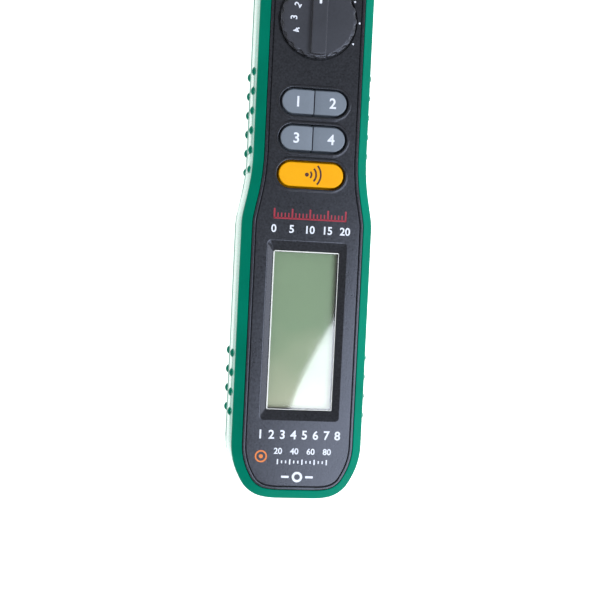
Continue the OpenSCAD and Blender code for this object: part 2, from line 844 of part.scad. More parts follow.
// Rotary knob: scalloped disc, grip bar and shaft
module function_knob() {
    disc_h = case_t + knob_h - knob_z;
    color("dimgray") difference() {
        union() {
            peg(0, knob_y, knob_z, knob_d, disc_h);
            intersection() {
                block(0, knob_y, case_t, grip_w, knob_d, knob_h + grip_h);
                peg(0, knob_y, case_t, knob_d - 2 * grip_end_gap, knob_h + grip_h);
            }
            peg(0, knob_y, shaft_end_z, shaft_d, knob_z - shaft_end_z);
        }
        for (i = [0:scallops - 1])
            translate([0, knob_y, 0]) rotate([0, 0, 360 * (i + 1 / 2) / scallops])
                peg(0, knob_d / 2 + scallop_d / 2 * scallop_share, case_t + grip_foot, scallop_d, knob_h + over);
        peg(0, knob_y, shaft_end_z - over, knob_screw_d + 2 * pilot_play, knob_screw_reach + over);
    }
}

// Screw that holds the rotor on the knob's shaft
module knob_screw() {
    color("silver") {
        peg(0, knob_y, rotor_z - fit - knob_screw_head_h, knob_screw_head_d, knob_screw_head_h);
        peg(0, knob_y, rotor_z - fit, knob_screw_d, rotor_floor_t + knob_screw_reach - over / 2);
    }
}

module wiper_rotor() {
    color("white") difference() {
        peg(0, knob_y, rotor_z, rotor_d, rotor_t);
        peg(0, knob_y, rotor_z + rotor_floor_t, shaft_d + 2 * fit, rotor_t);
        peg(0, knob_y, rotor_z - over, knob_screw_d + 2 * running_gap, rotor_t);
        for (side = [-1, 1])
            translate([0, knob_y, rotor_z + rotor_t / 2]) rotate([0, side * 90, 0])
                cylinder(h = rotor_d, d = ball_d + 2 * ball_play);
    }
}

// Copper contacts under the rotor
module wiper_contacts() {
    color("chocolate") translate([0, knob_y, 0]) for (i = [0:wiper_count - 1])
        rotate([0, 0, 360 * i / wiper_count])
            block(0, wiper_r, board_z + fit, wiper_l, wiper_w, rotor_z - board_z - fit);
}

module detent_balls() {
    color("silver") for (side = [-1, 1])
        translate([side * ball_r, knob_y, rotor_z + rotor_t / 2]) sphere(d = ball_d);
}

module detent_springs() {
    color("silver") for (side = [-1, 1])
        translate([side * spring_seat_r, knob_y, rotor_z + rotor_t / 2]) rotate([0, 0, side * -90])
            tube(detent_path, detent_wire_d);
}

// Fixed ring with a notch for each position
module detent_ring() {
    color("white") difference() {
        peg(0, knob_y, rotor_z, detent_ring_d, plate_z - rotor_z);
        peg(0, knob_y, rotor_z - over, detent_ring_in_d, plate_z - rotor_z + 2 * over);
        for (a = [0:notch_pitch:359])
            translate([0, knob_y, 0]) rotate([0, 0, a])
                peg(detent_ring_in_d / 2 + notch_d / 2 - notch_sink, 0, rotor_z - over, notch_d, rotor_t + over);
    }
}

module main_board() {
    color("darkgreen") difference() {
        union() {
            translate([-board_head_w / 2, board_y, board_under_z])
                cube([board_head_w, board_neck_y - board_y, board_t]);
            translate([-board_waist_w / 2, board_y, board_under_z])
                cube([board_waist_w, board_end_y - board_y, board_t]);
        }
        peg(0, knob_y, board_under_z - over, shaft_d + 2 * board_play, board_t + 2 * over);
        for (p = board_post_places, side = [-1, 1])
            peg(side * p[0], p[1], board_under_z - over, board_screw_d + board_play, board_t + 2 * over);
        for (side = [-1, 1])
            peg(side * waist_screw_x, waist_screw_y, board_under_z - over, case_boss_d + 2 * board_play,
                board_t + 2 * over);
    }
}

module board_screws() {
    color("silver") for (p = board_post_places, side = [-1, 1]) {
        peg(side * p[0], p[1], board_under_z - board_screw_head_h, board_screw_head_d, board_screw_head_h);
        peg(side * p[0], p[1], board_under_z, board_screw_d, board_t + board_screw_reach - over / 2);
    }
}

module meter_chip() {
    color("black") peg(0, chip_y, board_under_z - chip_t, chip_d, chip_t);
}

// Resistors and capacitors under the board
module board_parts() {
    color("tan") for (p = board_part_places) block(p[0], p[1], board_under_z - part_t, part_w, part_l, part_t);
}

module buzzer() {
    color("black") difference() {
        peg(0, buzzer_y, board_under_z - buzzer_h, buzzer_d, buzzer_h);
        peg(0, buzzer_y, board_under_z - buzzer_h - over, buzzer_d / 6, buzzer_h / 2 + over);
    }
}

fuse_z = board_under_z - fuse_clear - fuse_cap_d / 2;

module fuse_glass() {
    color([0.85, 0.9, 0.9, 0.5]) rod(fuse_x, fuse_y + fuse_cap_l, fuse_z, fuse_d, fuse_l - 2 * fuse_cap_l);
}

module fuse_caps() {
    color("silver") for (y = [fuse_y, fuse_y + fuse_l - fuse_cap_l])
        rod(fuse_x, y, fuse_z, fuse_cap_d, fuse_cap_l);
}

// Sprung clips that hang from the board and grip the fuse's caps
module fuse_clips() {
    color("gold") for (y = [fuse_y + fuse_cap_l / 2, fuse_y + fuse_l - fuse_cap_l / 2]) difference() {
        block(fuse_x, y, fuse_z - fuse_cap_d / 4, fuse_clip_w, fuse_clip_l, board_under_z - fuse_z + fuse_cap_d / 4);
        rod(fuse_x, y - fuse_clip_l, fuse_z, fuse_cap_d + 2 * fit, 2 * fuse_clip_l);
    }
}

// Bent bar of the current shunt, hanging under the board
module current_shunt() {
    color("peru") translate([shunt_x, shunt_y, board_under_z - shunt_drop]) {
        rotate([-90, 0, 90]) rotate_extrude(angle = 180) translate([shunt_span / 2, 0]) circle(d = shunt_wire_d);
        for (side = [-1, 1]) peg(0, side * shunt_span / 2, 0, shunt_wire_d, shunt_drop);
    }
}

// Copper plate that senses a live wire near the nose
module sensing_plate() {
    color("chocolate") translate([sensor_x, sensor_y, board_under_z - plate_metal_t])
        cube([sensor_w, sensor_end_y - sensor_y, plate_metal_t]);
}

// Red lamp in the face, standing on its legs on the board
module sensing_lamp() {
    dome_z = case_t + lamp_proud - lamp_d / 2;
    color("red") {
        peg(0, lamp_y, board_z + lamp_leg_h, lamp_d, dome_z - board_z - lamp_leg_h);
        translate([0, lamp_y, dome_z]) sphere(d = lamp_d);
        for (side = [-1, 1]) peg(side * lamp_leg_x, lamp_y, board_z, lamp_leg_d, lamp_leg_h);
    }
}

// Cover of the battery bay, flush with the back
module battery_cover() {
    middle_y = (cover_y + cover_end_y) / 2;
    color("seagreen") difference() {
        union() {
            round_block(middle_y, 0, cover_w, cover_end_y - cover_y, cover_r, cover_t);
            peg(0, cover_screw_y, 0, cover_boss_d, cover_t + cover_boss_h);
            for (side = [-1, 1]) peg(side * cover_peg_x, cover_peg_y, 0, cover_peg_d, cover_t + cover_peg_h);
        }
        peg(0, cover_screw_y, -over, screw_head_d + 2 * screw_head_play, cover_seat_z + over);
        peg(0, cover_screw_y, 0, screw_d + 2 * screw_play, cover_t + cover_boss_h + over);
        for (i = [0:cover_grips - 1])
            block(0, cover_grip_y + i * cover_grip_pitch, -over, cover_grip_l, cover_grip_w, cover_grip_d + over);
    }
}

// A screw that points up, with its head's seat at z and a cross in its head
module screw(x, y, z, reach) {
    difference() {
        peg(x, y, z - screw_head_h, screw_head_d, screw_head_h);
        block(x, y, z - screw_head_h - over, screw_head_d / 2, slot_w, slot_d + over);
        block(x, y, z - screw_head_h - over, slot_w, screw_head_d / 2, slot_d + over);
    }
    peg(x, y, z, screw_d, reach);
}

module cover_screw() {
    color("silver") screw(0, cover_screw_y, cover_seat_z, cover_screw_reach);
}

module case_screws() {
    color("silver") for (p = case_screw_places, side = [-1, 1]) screw(side * p[0], p[1], screw_seat_z, screw_reach);
}

// One cell, with its nub at the far end
module cell() {
    rod(0, 0, 0, cell_d, cell_l - cell_nub_h);
    rod(0, cell_l - cell_nub_h, 0, cell_nub_d, cell_nub_h);
}

// Two cells side by side, one turned end for end
module battery_cells() {
    color("silver") {
        translate([-cell_x, bay_y + cell_plate_t + spring_room, cell_z]) cell();
        translate([cell_x, bay_end_y - cell_plate_t - spring_room, cell_z]) rotate([0, 0, 180]) cell();
    }
}

// Centre line of a coil spring that fills a length along +Y from 0
function coil(d, wire_d, turns, l) =
    let (start = wire_d / 2 + fit, rise = l - 2 * start)
    [for (i = [0:turns * coil_rings_a_turn])
        let (t = i / coil_rings_a_turn)
        [d / 2 * cos(360 * t), start + rise * t / turns, d / 2 * sin(360 * t)]];
// Least gap of a spring to itself, measured on points at least half a turn apart
function coil_gap(path, wire_d) =
    min([for (i = [0:len(path) - 1], j = [i + coil_rings_a_turn / 2:1:len(path) - 1]) norm(path[i] - path[j])])
    - wire_d;
cell_coil_path = coil(coil_d, coil_wire_d, coil_turns, spring_room);
detent_path = coil(detent_coil_d, detent_wire_d, detent_turns, detent_spring_l);
echo("least gap of a cell spring to itself", coil_gap(cell_coil_path, coil_wire_d));
echo("least gap of a detent spring to itself", coil_gap(detent_path, detent_wire_d));

// A tube of coil_sides sides along a path, closed at both ends
module tube(path, d) {
    n = coil_sides;
    last = len(path) - 1;
    points = [for (i = [0:last])
        let (
            along = unit(path[min(i + 1, last)] - path[max(i - 1, 0)]),
            out = unit([path[i][0], 0, path[i][2]]),
            up = unit(cross(along, out))
        )
        for (k = [0:n - 1]) path[i] + d / 2 * (cos(360 * k / n) * out + sin(360 * k / n) * up)];
    polyhedron(points = points, faces = concat(
        [[for (k = [0:n - 1]) k]],
        [[for (k = [n - 1:-1:0]) last * n + k]],
        [for (i = [0:last - 1], k = [0:n - 1])
            let (a = i * n + k, b = i * n + (k + 1) % n)
            each [[a, a + n, b + n], [a, b + n, b]]]
    ));
}

module cell_springs() {
    color("silver") {
        translate([-cell_x, bay_y + cell_plate_t, cell_z]) tube(cell_coil_path, coil_wire_d);
        translate([cell_x, bay_end_y - cell_plate_t, cell_z]) rotate([0, 0, 180])
            tube(cell_coil_path, coil_wire_d);
    }
}

// Contact plates at both ends of the bay; the far one bridges the cells
module cell_plates() {
    plate_z0 = cell_z - cell_plate_w / 2;
    color("silver") {
        for (side = [-1, 1]) block(side * cell_x, bay_y + cell_plate_t / 2, plate_z0, cell_plate_w, cell_plate_t,
            cell_plate_w);
        block(0, bay_end_y - cell_plate_t / 2, plate_z0, 2 * cell_x + cell_plate_w, cell_plate_t, cell_plate_w);
    }
}

// Black sleeve that holds the socket contact
module socket_insulator() {
    color("black") difference() {
        union() {
            rod(0, socket_face, parting_z, socket_d, socket_l);
            rod(0, wall + 2 * fit, parting_z, socket_flange_d, socket_flange_t);
        }
        rod(0, socket_face - over, parting_z, socket_mouth_d, socket_mouth_l + over);
        rod(0, socket_face, parting_z, contact_d + 2 * fit, socket_l + over);
    }
}

// Brass contact with the bore that a plug goes in, and its tab up to the board
module socket_contact() {
    color("gold") {
        difference() {
            rod(0, contact_y, parting_z, contact_d, contact_end_y - contact_y);
            rod(0, contact_y - over, parting_z, socket_bore_d, contact_end_y - contact_end_t - contact_y + over);
        }
        block(0, contact_end_y - tab_t / 2, parting_z, tab_w, tab_t, board_under_z - parting_z);
    }
}

// Dark nose, clamped between the casing halves, with ribs along its taper
module nose_cone() {
    mid_y = case_l + nose_l * nose_mid_share;
    tip_r = nose_tip_d / 2;
    mid_r = nose_mid_d / 2;
    foot_y = case_l + side_swell + fit;
    collar_y = foot_y + nose_collar_t;
    color("dimgray") translate([0, 0, parting_z]) rotate([-90, 0, 0]) difference() {
        rotate_extrude() polygon([
            [0, nose_flange_y],
            [nose_flange_d / 2, nose_flange_y],
            [nose_flange_d / 2, nose_flange_y + nose_flange_t],
            [nose_d / 2, nose_flange_y + nose_flange_t],
            [nose_d / 2, foot_y],
            [nose_collar_d / 2, foot_y],
            [nose_collar_d / 2, collar_y],
            [nose_d / 2, collar_y],
            for (i = [0:nose_ribs - 1])
                let (
                    step = (mid_y - collar_y) / nose_ribs,
                    y = collar_y + step * i,
                    r = nose_d / 2 + (mid_r - nose_d / 2) * (i + 1) / nose_ribs
                )
                each [[r + nose_rib_h, y + step - nose_rib_w], [r + nose_rib_h, y + step], [r, y + step]],
            [tip_r, case_l + nose_l],
            [0, case_l + nose_l],
        ]);
        peg(0, 0, nose_flange_y - over, shank_d + 2 * fit, case_l);
        peg(0, 0, case_l + nose_l - sleeve_seat_l, sleeve_d + 2 * fit, sleeve_seat_l + over);
    }
}

module probe_pin() {
    pin_y = nose_flange_y - pin_tail;
    color("gold") {
        rod(0, pin_y, parting_z, shank_d, tip_y - pin_y);
        rod(0, tip_y, parting_z, pin_d, tip_l - pin_cone_l);
        translate([0, total_l - pin_cone_l, parting_z]) rotate([-90, 0, 0])
            cylinder(h = pin_cone_l, d1 = pin_d, d2 = pin_point_d);
    }
}

// Red sleeve that leaves only the tip bare
module tip_sleeve() {
    color("firebrick") difference() {
        rod(0, case_l + nose_l - sleeve_seat_l + fit, parting_z, sleeve_d, sleeve_seat_l + sleeve_l - fit);
        rod(0, case_l, parting_z, shank_d + 2 * fit, total_l);
    }
}

// Brass strip from the pin's tail to the board
module probe_tab() {
    pin_y = nose_flange_y - pin_tail;
    color("gold") {
        translate([-tab_w / 2, pin_y - tab_t, parting_z - shank_d / 2])
            cube([tab_w, tab_t, board_under_z - parting_z + shank_d / 2]);
        translate([-tab_w / 2, board_end_y - tab_w, board_under_z - tab_t])
            cube([tab_w, pin_y - board_end_y + tab_w, tab_t]);
    }
}

centred() front_frame();
centred() rear_shell();
centred() face_plate();
centred() window_pane();
centred() lcd_glass();
centred() lcd_holder();
centred() contact_strips();
centred() range_key();
centred() hold_key();
centred() max_key();
centred() function_key();
centred() sensing_key();
centred() key_switches();
centred() snap_domes();
centred() function_knob();
centred() knob_screw();
centred() wiper_rotor();
centred() wiper_contacts();
centred() detent_balls();
centred() detent_springs();
centred() detent_ring();
centred() main_board();
centred() board_screws();
centred() meter_chip();
centred() board_parts();
centred() buzzer();
centred() fuse_glass();
centred() fuse_caps();
centred() fuse_clips();
centred() current_shunt();
centred() sensing_plate();
centred() sensing_lamp();
centred() battery_cover();
centred() cover_screw();
centred() case_screws();
centred() battery_cells();
centred() cell_springs();
centred() cell_plates();
centred() socket_insulator();
centred() socket_contact();
centred() nose_cone();
centred() probe_pin();
centred() tip_sleeve();
centred() probe_tab();
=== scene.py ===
# %% [markdown]
# # A pen multimeter
# The meter lies on its back on a white floor, with its display end towards us and its probe pointing away.
# Its solid parts come from the CAD frame. This lesson gives them soft edges, printed marks and finishes,
# and sets the camera and the light. Everything is in metres, in the same frame as the solids. A size in
# millimetres is multiplied by MM, and the tools for marks take millimetres.

# %% The frame
import json
import math
import bpy
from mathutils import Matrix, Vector

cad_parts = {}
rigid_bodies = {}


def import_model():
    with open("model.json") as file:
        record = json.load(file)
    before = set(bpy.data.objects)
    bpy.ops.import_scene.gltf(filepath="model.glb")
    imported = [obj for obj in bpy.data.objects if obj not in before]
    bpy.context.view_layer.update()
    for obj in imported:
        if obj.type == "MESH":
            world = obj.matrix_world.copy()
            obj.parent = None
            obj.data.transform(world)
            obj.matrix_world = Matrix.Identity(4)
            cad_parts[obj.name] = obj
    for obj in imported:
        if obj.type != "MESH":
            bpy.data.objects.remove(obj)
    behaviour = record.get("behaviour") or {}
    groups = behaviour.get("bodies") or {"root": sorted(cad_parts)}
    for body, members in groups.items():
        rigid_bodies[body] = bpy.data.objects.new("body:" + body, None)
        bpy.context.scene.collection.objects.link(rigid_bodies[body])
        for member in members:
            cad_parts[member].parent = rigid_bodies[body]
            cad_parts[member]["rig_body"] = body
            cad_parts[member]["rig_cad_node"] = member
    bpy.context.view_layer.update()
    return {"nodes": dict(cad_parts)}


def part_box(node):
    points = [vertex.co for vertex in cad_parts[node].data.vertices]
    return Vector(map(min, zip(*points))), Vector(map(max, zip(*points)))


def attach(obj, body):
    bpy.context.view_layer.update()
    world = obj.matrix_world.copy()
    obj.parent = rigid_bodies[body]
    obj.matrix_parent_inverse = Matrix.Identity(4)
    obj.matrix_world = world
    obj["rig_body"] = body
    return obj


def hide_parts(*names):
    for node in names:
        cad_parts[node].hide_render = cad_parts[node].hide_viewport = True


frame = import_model()
MM = 0.001

# %% [markdown]
# ## Places that the pieces share
# The solids already hold the layout. A box read from a node gives the height or the middle that a mark
# or a finish needs. The flat of the face and the knob's disc have no box of their own, so they are a named
# step down from the collars and from the grip bar.

# %% Shared places
COLLAR_RISE = 0.35 * MM
GRIP_RISE = 1.7 * MM


def middle_y(node):
    """How far along the meter the middle of a solid lies."""
    low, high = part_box(node)
    return (low.y + high.y) / 2


yellow_row, second_row, first_row = middle_y("sensing_key"), middle_y("max_key"), middle_y("range_key")
window_y, knob_y = middle_y("window_pane"), middle_y("function_knob")
pane_low, pane_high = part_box("window_pane")
cells_low, cells_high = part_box("battery_cells")
key_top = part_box("sensing_key")[1].z
knob_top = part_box("function_knob")[1].z
disc_top = knob_top - GRIP_RISE
face_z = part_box("face_plate")[1].z - COLLAR_RISE
print("key rows at", round(yellow_row, 4), round(second_row, 4), round(first_row, 4))
print("knob at", round(knob_y, 4), "window at", round(window_y, 4), "face at height", round(face_z, 4))

# %% [markdown]
# ## The camera
# The photograph looks almost straight down on the face, a little from the meter's left, with a moderate lens.
# The place, the turns and the lens below were fitted to edges of the casing, the keys and the window. A
# camera starts looking straight down, and the three turns are about the x, y and z axes, in degrees.

# %% The camera
SENSOR_MM, FOCAL_PIXELS, PICTURE_PIXELS = 36, 1181.67, 600
CAMERA_AT, CAMERA_TURNS = (-0.04774, -0.03851, 0.35047), (-1.9516, -8.0426, 2.7815)
NEAREST_SEEN = 10 * MM
bpy.ops.object.select_all(action="DESELECT")
bpy.ops.object.camera_add()
camera = bpy.context.object
camera.name = "photo_camera"
camera.location = CAMERA_AT
camera.rotation_euler = [math.radians(degrees) for degrees in CAMERA_TURNS]
camera.data.sensor_width = SENSOR_MM
camera.data.lens = SENSOR_MM * FOCAL_PIXELS / PICTURE_PIXELS
camera.data.clip_start = NEAREST_SEEN
bpy.context.scene.camera = camera
bpy.context.scene.view_settings.view_transform = "Standard"
print("camera lens", round(camera.data.lens, 1), "mm")

# %% [markdown]
# ## Small helpers for the finishes
# Colours are picked as sRGB hex values, as a paint program shows them, but shaders want linear light, so
# one function turns the first into the second. Another fills sockets: a number or a colour is written on the
# socket, and the output of another node is joined to it. With it, the function that adds a node sets it up in
# the same call, so that each finish reads as a short list.

# %% Helpers for the finishes
def linear(hex_colour):
    """Turns an sRGB hex colour into linear red, green, blue and alpha."""
    channels = [int(hex_colour[i:i + 2], 16) / 255 for i in (1, 3, 5)]
    return tuple(c / 12.92 if c <= 0.04045 else ((c + 0.055) / 1.055) ** 2.4 for c in channels) + (1.0,)


def fill(tree, node, sockets):
    """Gives each named socket its number or colour, or joins another node's output to it."""
    for socket, value in sockets.items():
        if isinstance(value, bpy.types.NodeSocket):
            tree.links.new(value, node.inputs[socket])
        else:
            node.inputs[socket].default_value = value


def add_node(tree, kind, sockets=None, **properties):
    """Adds one node, sets its properties and fills its sockets."""
    node = tree.nodes.new("ShaderNode" + kind)
    for name, value in properties.items():
        setattr(node, name, value)
    fill(tree, node, sockets or {})
    return node


def set_tints(ramp, first_hex, last_hex, first_at=0.0, last_at=1.0):
    """Sets the colour and the place of both ends of a colour ramp."""
    ramp.elements[0].position, ramp.elements[1].position = first_at, last_at
    ramp.elements[0].color, ramp.elements[1].color = linear(first_hex), linear(last_hex)


def new_finish(name):
    """A fresh material with an empty tree, its output and a principled shader already joined."""
    material = bpy.data.materials.new(name)
    material.use_nodes = True
    tree = material.node_tree
    tree.nodes.clear()
    shader = add_node(tree, "BsdfPrincipled")
    add_node(tree, "OutputMaterial", {"Surface": shader.outputs[0]})
    return material, tree, shader


print("white in linear light:", linear("#ffffff"), "mid grey:", round(linear("#808080")[0], 3))

# %% [markdown]
# ## The floor and the light
# The photograph was taken on a white sweep, with one large soft light high up on the right, towards us.
# A large plane with raised edges stands for the sweep. It glows a little, as a sheet lit from behind
# does, so it stays white in the shadow and shines on the side walls. From below it is see-through, so that
# the back can be looked at. One round light makes the gradient over the face, and its edge is mirrored in
# the window. A low card on the right lights the slopes that face it. White walls all round, the world here,
# lift the shadows.

# %% The floor
SWEEP_SIZE, SWEEP_CUTS = 6, 12
# The meter stands a hair above the sweep, so that no two surfaces lie in one plane.
FLOOR_GAP = 0.2 * MM
FLAT_REACH, RISE_PER_SQUARE = 1.5, 0.35
MOTTLE_MM = 167
GLOW = 1.1
bpy.ops.mesh.primitive_plane_add(size=SWEEP_SIZE, location=(0, 0, -FLOOR_GAP))
floor = bpy.context.object
floor.name = "sweep_floor"
bpy.ops.object.mode_set(mode="EDIT")
bpy.ops.mesh.subdivide(number_cuts=SWEEP_CUTS)
bpy.ops.object.mode_set(mode="OBJECT")
for corner in floor.data.vertices:
    reach = max(abs(corner.co.x), abs(corner.co.y)) - FLAT_REACH
    corner.co.z = RISE_PER_SQUARE * max(reach, 0) ** 2
bpy.ops.object.shade_smooth()
# White sweep paper: dull, a little uneven.
paper, tree, shader = new_finish("white_sweep_paper")
at = add_node(tree, "TexCoord").outputs["Object"]
mottle = add_node(tree, "TexNoise", {"Vector": at, "Scale": 1 / (MOTTLE_MM * MM), "Detail": 2.0})
tint = add_node(tree, "ValToRGB", {"Fac": mottle.outputs["Fac"]})
set_tints(tint.color_ramp, "#f4f5f6", "#fafafa")
fill(tree, shader, {"Base Color": tint.outputs["Color"], "Roughness": 0.85, "Specular IOR Level": 0.2,
    "Emission Color": linear("#ffffff"), "Emission Strength": GLOW})
open_below = add_node(tree, "BsdfTransparent")
side = add_node(tree, "NewGeometry")
sheet = add_node(tree, "MixShader",
    {0: side.outputs["Backfacing"], 1: shader.outputs[0], 2: open_below.outputs[0]})
fill(tree, tree.nodes["Material Output"], {"Surface": sheet.outputs[0]})
floor.data.materials.append(paper)
print("floor", len(floor.data.polygons), "faces")

# %% The lights
UMBRELLA_AT, UMBRELLA_RADIUS, UMBRELLA_WATTS = (0.395, -0.25, 0.74), 0.31, 7.6
CARD_AT, CARD_RADIUS, CARD_WATTS = (0.95, -0.06, 0.3), 0.22, 1.6
CARD_AIM = (0, -0.04, 0.03)
WORLD_STRENGTH = 0.5


def soft_disc(name, place, radius, watts, tone):
    """A round area light that looks straight down, until it is turned."""
    bpy.ops.object.light_add(type="AREA", location=place)
    light = bpy.context.object
    light.name = name
    light.data.shape = "DISK"
    light.data.size = 2 * radius
    light.data.energy = watts
    light.data.color = linear(tone)[:3]
    return light


key_light = soft_disc("key_umbrella", UMBRELLA_AT, UMBRELLA_RADIUS, UMBRELLA_WATTS, "#eef3ff")
card_light = soft_disc("white_card", CARD_AT, CARD_RADIUS, CARD_WATTS, "#f4f7ff")
card_light.rotation_euler = (Vector(CARD_AIM) - Vector(CARD_AT)).to_track_quat("-Z", "Y").to_euler()
world = bpy.data.worlds.new("studio_air")
world.use_nodes = True
fill(world.node_tree, world.node_tree.nodes["Background"],
    {"Color": linear("#ffffff"), "Strength": WORLD_STRENGTH})
bpy.context.scene.world = world
print("lights:", key_light.name, key_light.data.energy, "W,", card_light.name, card_light.data.energy, "W")

# %% [markdown]
# ## Moulded plastics
# Most of the meter is injection moulded ABS, and the keys are moulded silicone. The tool steel is spark
# eroded, which leaves a fine random grain in the surface. So one function makes them all: a cloudy tint over
# centimetres, a grain in the bump, and gloss that changes a little from place to place. The casing also has
# a thin skin, the coat of the shader. Seen straight on it is gone, and at a glancing angle it is a mirror.

# %% Moulded plastic
# The real grain is a tenth or two of a millimetre wide. The finishes draw it 0.25 to 0.6 mm wide, because it
# would be too fine to show.
CLOUD_MM, GLOSS_SPREAD, ABS_IOR = 11.1, 0.06, 1.53
# The skin's IOR is above that of ABS, so that the side walls mirror the sweep nearly white, as they do in
# the photograph. A higher power keeps the skin nearer to the glancing angles.
SKIN_IOR, SKIN_ROUGHNESS, SKIN_POWER = 2.0, 0.1, 6.0


def moulded(name, light_hex, dark_hex, roughness, grain_mm, depth_mm, gloss=0.5, speck=0.0, rim=0.0,
        shine="#ffffff"):
    """Moulded plastic: two near tints, a spark eroded grain and uneven gloss.

    The grain's share in the tint is speck, and rim is the strength of the glancing skin."""
    material, tree, shader = new_finish(name)
    at = add_node(tree, "TexCoord").outputs["Object"]
    cloud = add_node(tree, "TexNoise", {"Vector": at, "Scale": 1 / (CLOUD_MM * MM), "Detail": 3.0})
    grain = add_node(tree, "TexNoise", {"Vector": at, "Scale": 1 / (grain_mm * MM), "Detail": 2.0})
    blend = add_node(tree, "Math", {0: cloud.outputs["Fac"], 1: 1.0 - speck}, operation="MULTIPLY")
    fleck = add_node(tree, "Math", {0: grain.outputs["Fac"], 1: speck}, operation="MULTIPLY")
    both = add_node(tree, "Math", {0: blend.outputs[0], 1: fleck.outputs[0]}, operation="ADD")
    tint = add_node(tree, "ValToRGB", {"Fac": both.outputs[0]})
    set_tints(tint.color_ramp, dark_hex, light_hex, first_at=0.3, last_at=0.7)
    dull = add_node(tree, "MapRange", {"Value": grain.outputs["Fac"], "To Min": roughness - GLOSS_SPREAD,
        "To Max": roughness + GLOSS_SPREAD})
    relief = add_node(tree, "Bump",
        {"Height": grain.outputs["Fac"], "Strength": 1.0, "Distance": depth_mm * MM})
    slant = add_node(tree, "LayerWeight", {"Blend": 0.5})
    skin = add_node(tree, "Math", {0: slant.outputs["Facing"], 1: SKIN_POWER}, operation="POWER")
    veil = add_node(tree, "Math", {0: skin.outputs[0], 1: rim}, operation="MULTIPLY", use_clamp=True)
    fill(tree, shader, {"Base Color": tint.outputs["Color"], "Roughness": dull.outputs[0],
        "Normal": relief.outputs[0], "IOR": ABS_IOR, "Specular IOR Level": gloss,
        "Specular Tint": linear(shine), "Coat Weight": veil.outputs[0], "Coat IOR": SKIN_IOR,
        "Coat Roughness": SKIN_ROUGHNESS})
    return material


# Green ABS of the casing, satin: saturated seen from above, and nearly white at a glancing angle, where its
# skin mirrors the sweep.
green_abs = moulded("green_satin_abs", "#00765f", "#006e58", 0.3, 0.5, 0.003, gloss=0.012, rim=2.2)
# Dark ABS of the face, matt: the grain scatters the light into a soft grey gradient.
dark_abs = moulded("dark_grained_abs", "#292a2e", "#17181a", 0.22, 0.55, 0.014, gloss=0.4, speck=0.75,
    shine="#e4ecff")
# The knob and the nose are a shade paler than the face, with a slightly smoother grain.
knob_abs = moulded("dark_knob_abs", "#35363b", "#2b2c30", 0.36, 0.5, 0.008, gloss=0.5, speck=0.3,
    shine="#e4ecff")
# Grey silicone key caps: dull, a little blue.
grey_silicone = moulded("grey_key_silicone", "#717b87", "#68727d", 0.5, 0.5, 0.005, gloss=0.3, speck=0.4)
# Yellow key cap of the same silicone, strongly coloured.
yellow_silicone = moulded("yellow_key_silicone", "#eaa800", "#e6a000", 0.5, 0.6, 0.004, gloss=0.12)
# Black plastic of inner housings and the socket.
black_abs = moulded("black_housing_abs", "#1c1c1e", "#141416", 0.45, 0.4, 0.008)
# White acetal of the rotor and the detent ring, slightly waxy.
white_acetal = moulded("white_acetal", "#f0eee6", "#e6e3d8", 0.38, 0.6, 0.003)
# Red nylon of the tip sleeve.
red_nylon = moulded("red_sleeve_nylon", "#c01a22", "#ac131b", 0.38, 0.6, 0.004)
# Grey conductive rubber of the contact strips.
grey_rubber = moulded("grey_strip_rubber", "#6a6b6c", "#55565a", 0.7, 0.3, 0.006)
plastics = (green_abs, dark_abs, knob_abs, grey_silicone, yellow_silicone, black_abs, white_acetal, red_nylon,
    grey_rubber)
print("moulded plastics:", len(plastics))

# %% [markdown]
# ## Metals
# Screws, springs, contact plates and the probe are nickel plated steel, the contacts of the socket and of
# the fuse are brass, and the wipers, the shunt and the sensing plate are copper. Turning and drawing leave
# fine lines along one direction, so the bump is a noise stretched along the meter.

# %% Drawn and turned metal
# Real drawing lines are a few hundredths of a millimetre apart. They are drawn 0.15 mm apart, because they
# would be too fine to show.
LINE_WIDTH_MM, LINE_LENGTH_MM, LINE_DEPTH_MM = 0.15, 16.7, 0.004
TARNISH_MM, TARNISH_SPREAD = 2.86, 0.07


def drawn_metal(name, light_hex, dark_hex, roughness):
    """Plated or bare metal with fine lines from drawing or turning."""
    material, tree, shader = new_finish(name)
    at = add_node(tree, "TexCoord").outputs["Object"]
    across, lengthwise = 1 / (LINE_WIDTH_MM * MM), 1 / (LINE_LENGTH_MM * MM)
    stretch = add_node(tree, "Mapping", {"Vector": at, "Scale": (across, lengthwise, across)})
    lines = add_node(tree, "TexNoise", {"Vector": stretch.outputs[0], "Scale": 1.0, "Detail": 2.0})
    tarnish = add_node(tree, "TexNoise", {"Vector": at, "Scale": 1 / (TARNISH_MM * MM), "Detail": 4.0})
    tint = add_node(tree, "ValToRGB", {"Fac": tarnish.outputs["Fac"]})
    set_tints(tint.color_ramp, dark_hex, light_hex, first_at=0.35, last_at=0.65)
    dull = add_node(tree, "MapRange", {"Value": tarnish.outputs["Fac"], "To Min": roughness - TARNISH_SPREAD,
        "To Max": roughness + TARNISH_SPREAD})
    relief = add_node(tree, "Bump",
        {"Height": lines.outputs["Fac"], "Strength": 0.6, "Distance": LINE_DEPTH_MM * MM})
    fill(tree, shader, {"Base Color": tint.outputs["Color"], "Roughness": dull.outputs[0],
        "Normal": relief.outputs[0], "Metallic": 1.0})
    return material


# Nickel plated steel: neutral, fairly bright.
nickel = drawn_metal("nickel_plated_steel", "#d2d0cb", "#b9b6b0", 0.3)
# Brass of the socket contact, turned.
brass = drawn_metal("turned_brass", "#dcc07a", "#c5a55c", 0.3)
# Copper of wipers, shunt and sensing plate.
copper = drawn_metal("bare_copper", "#c98761", "#b0704d", 0.38)
print("metals:", nickel.name, brass.name, copper.name)

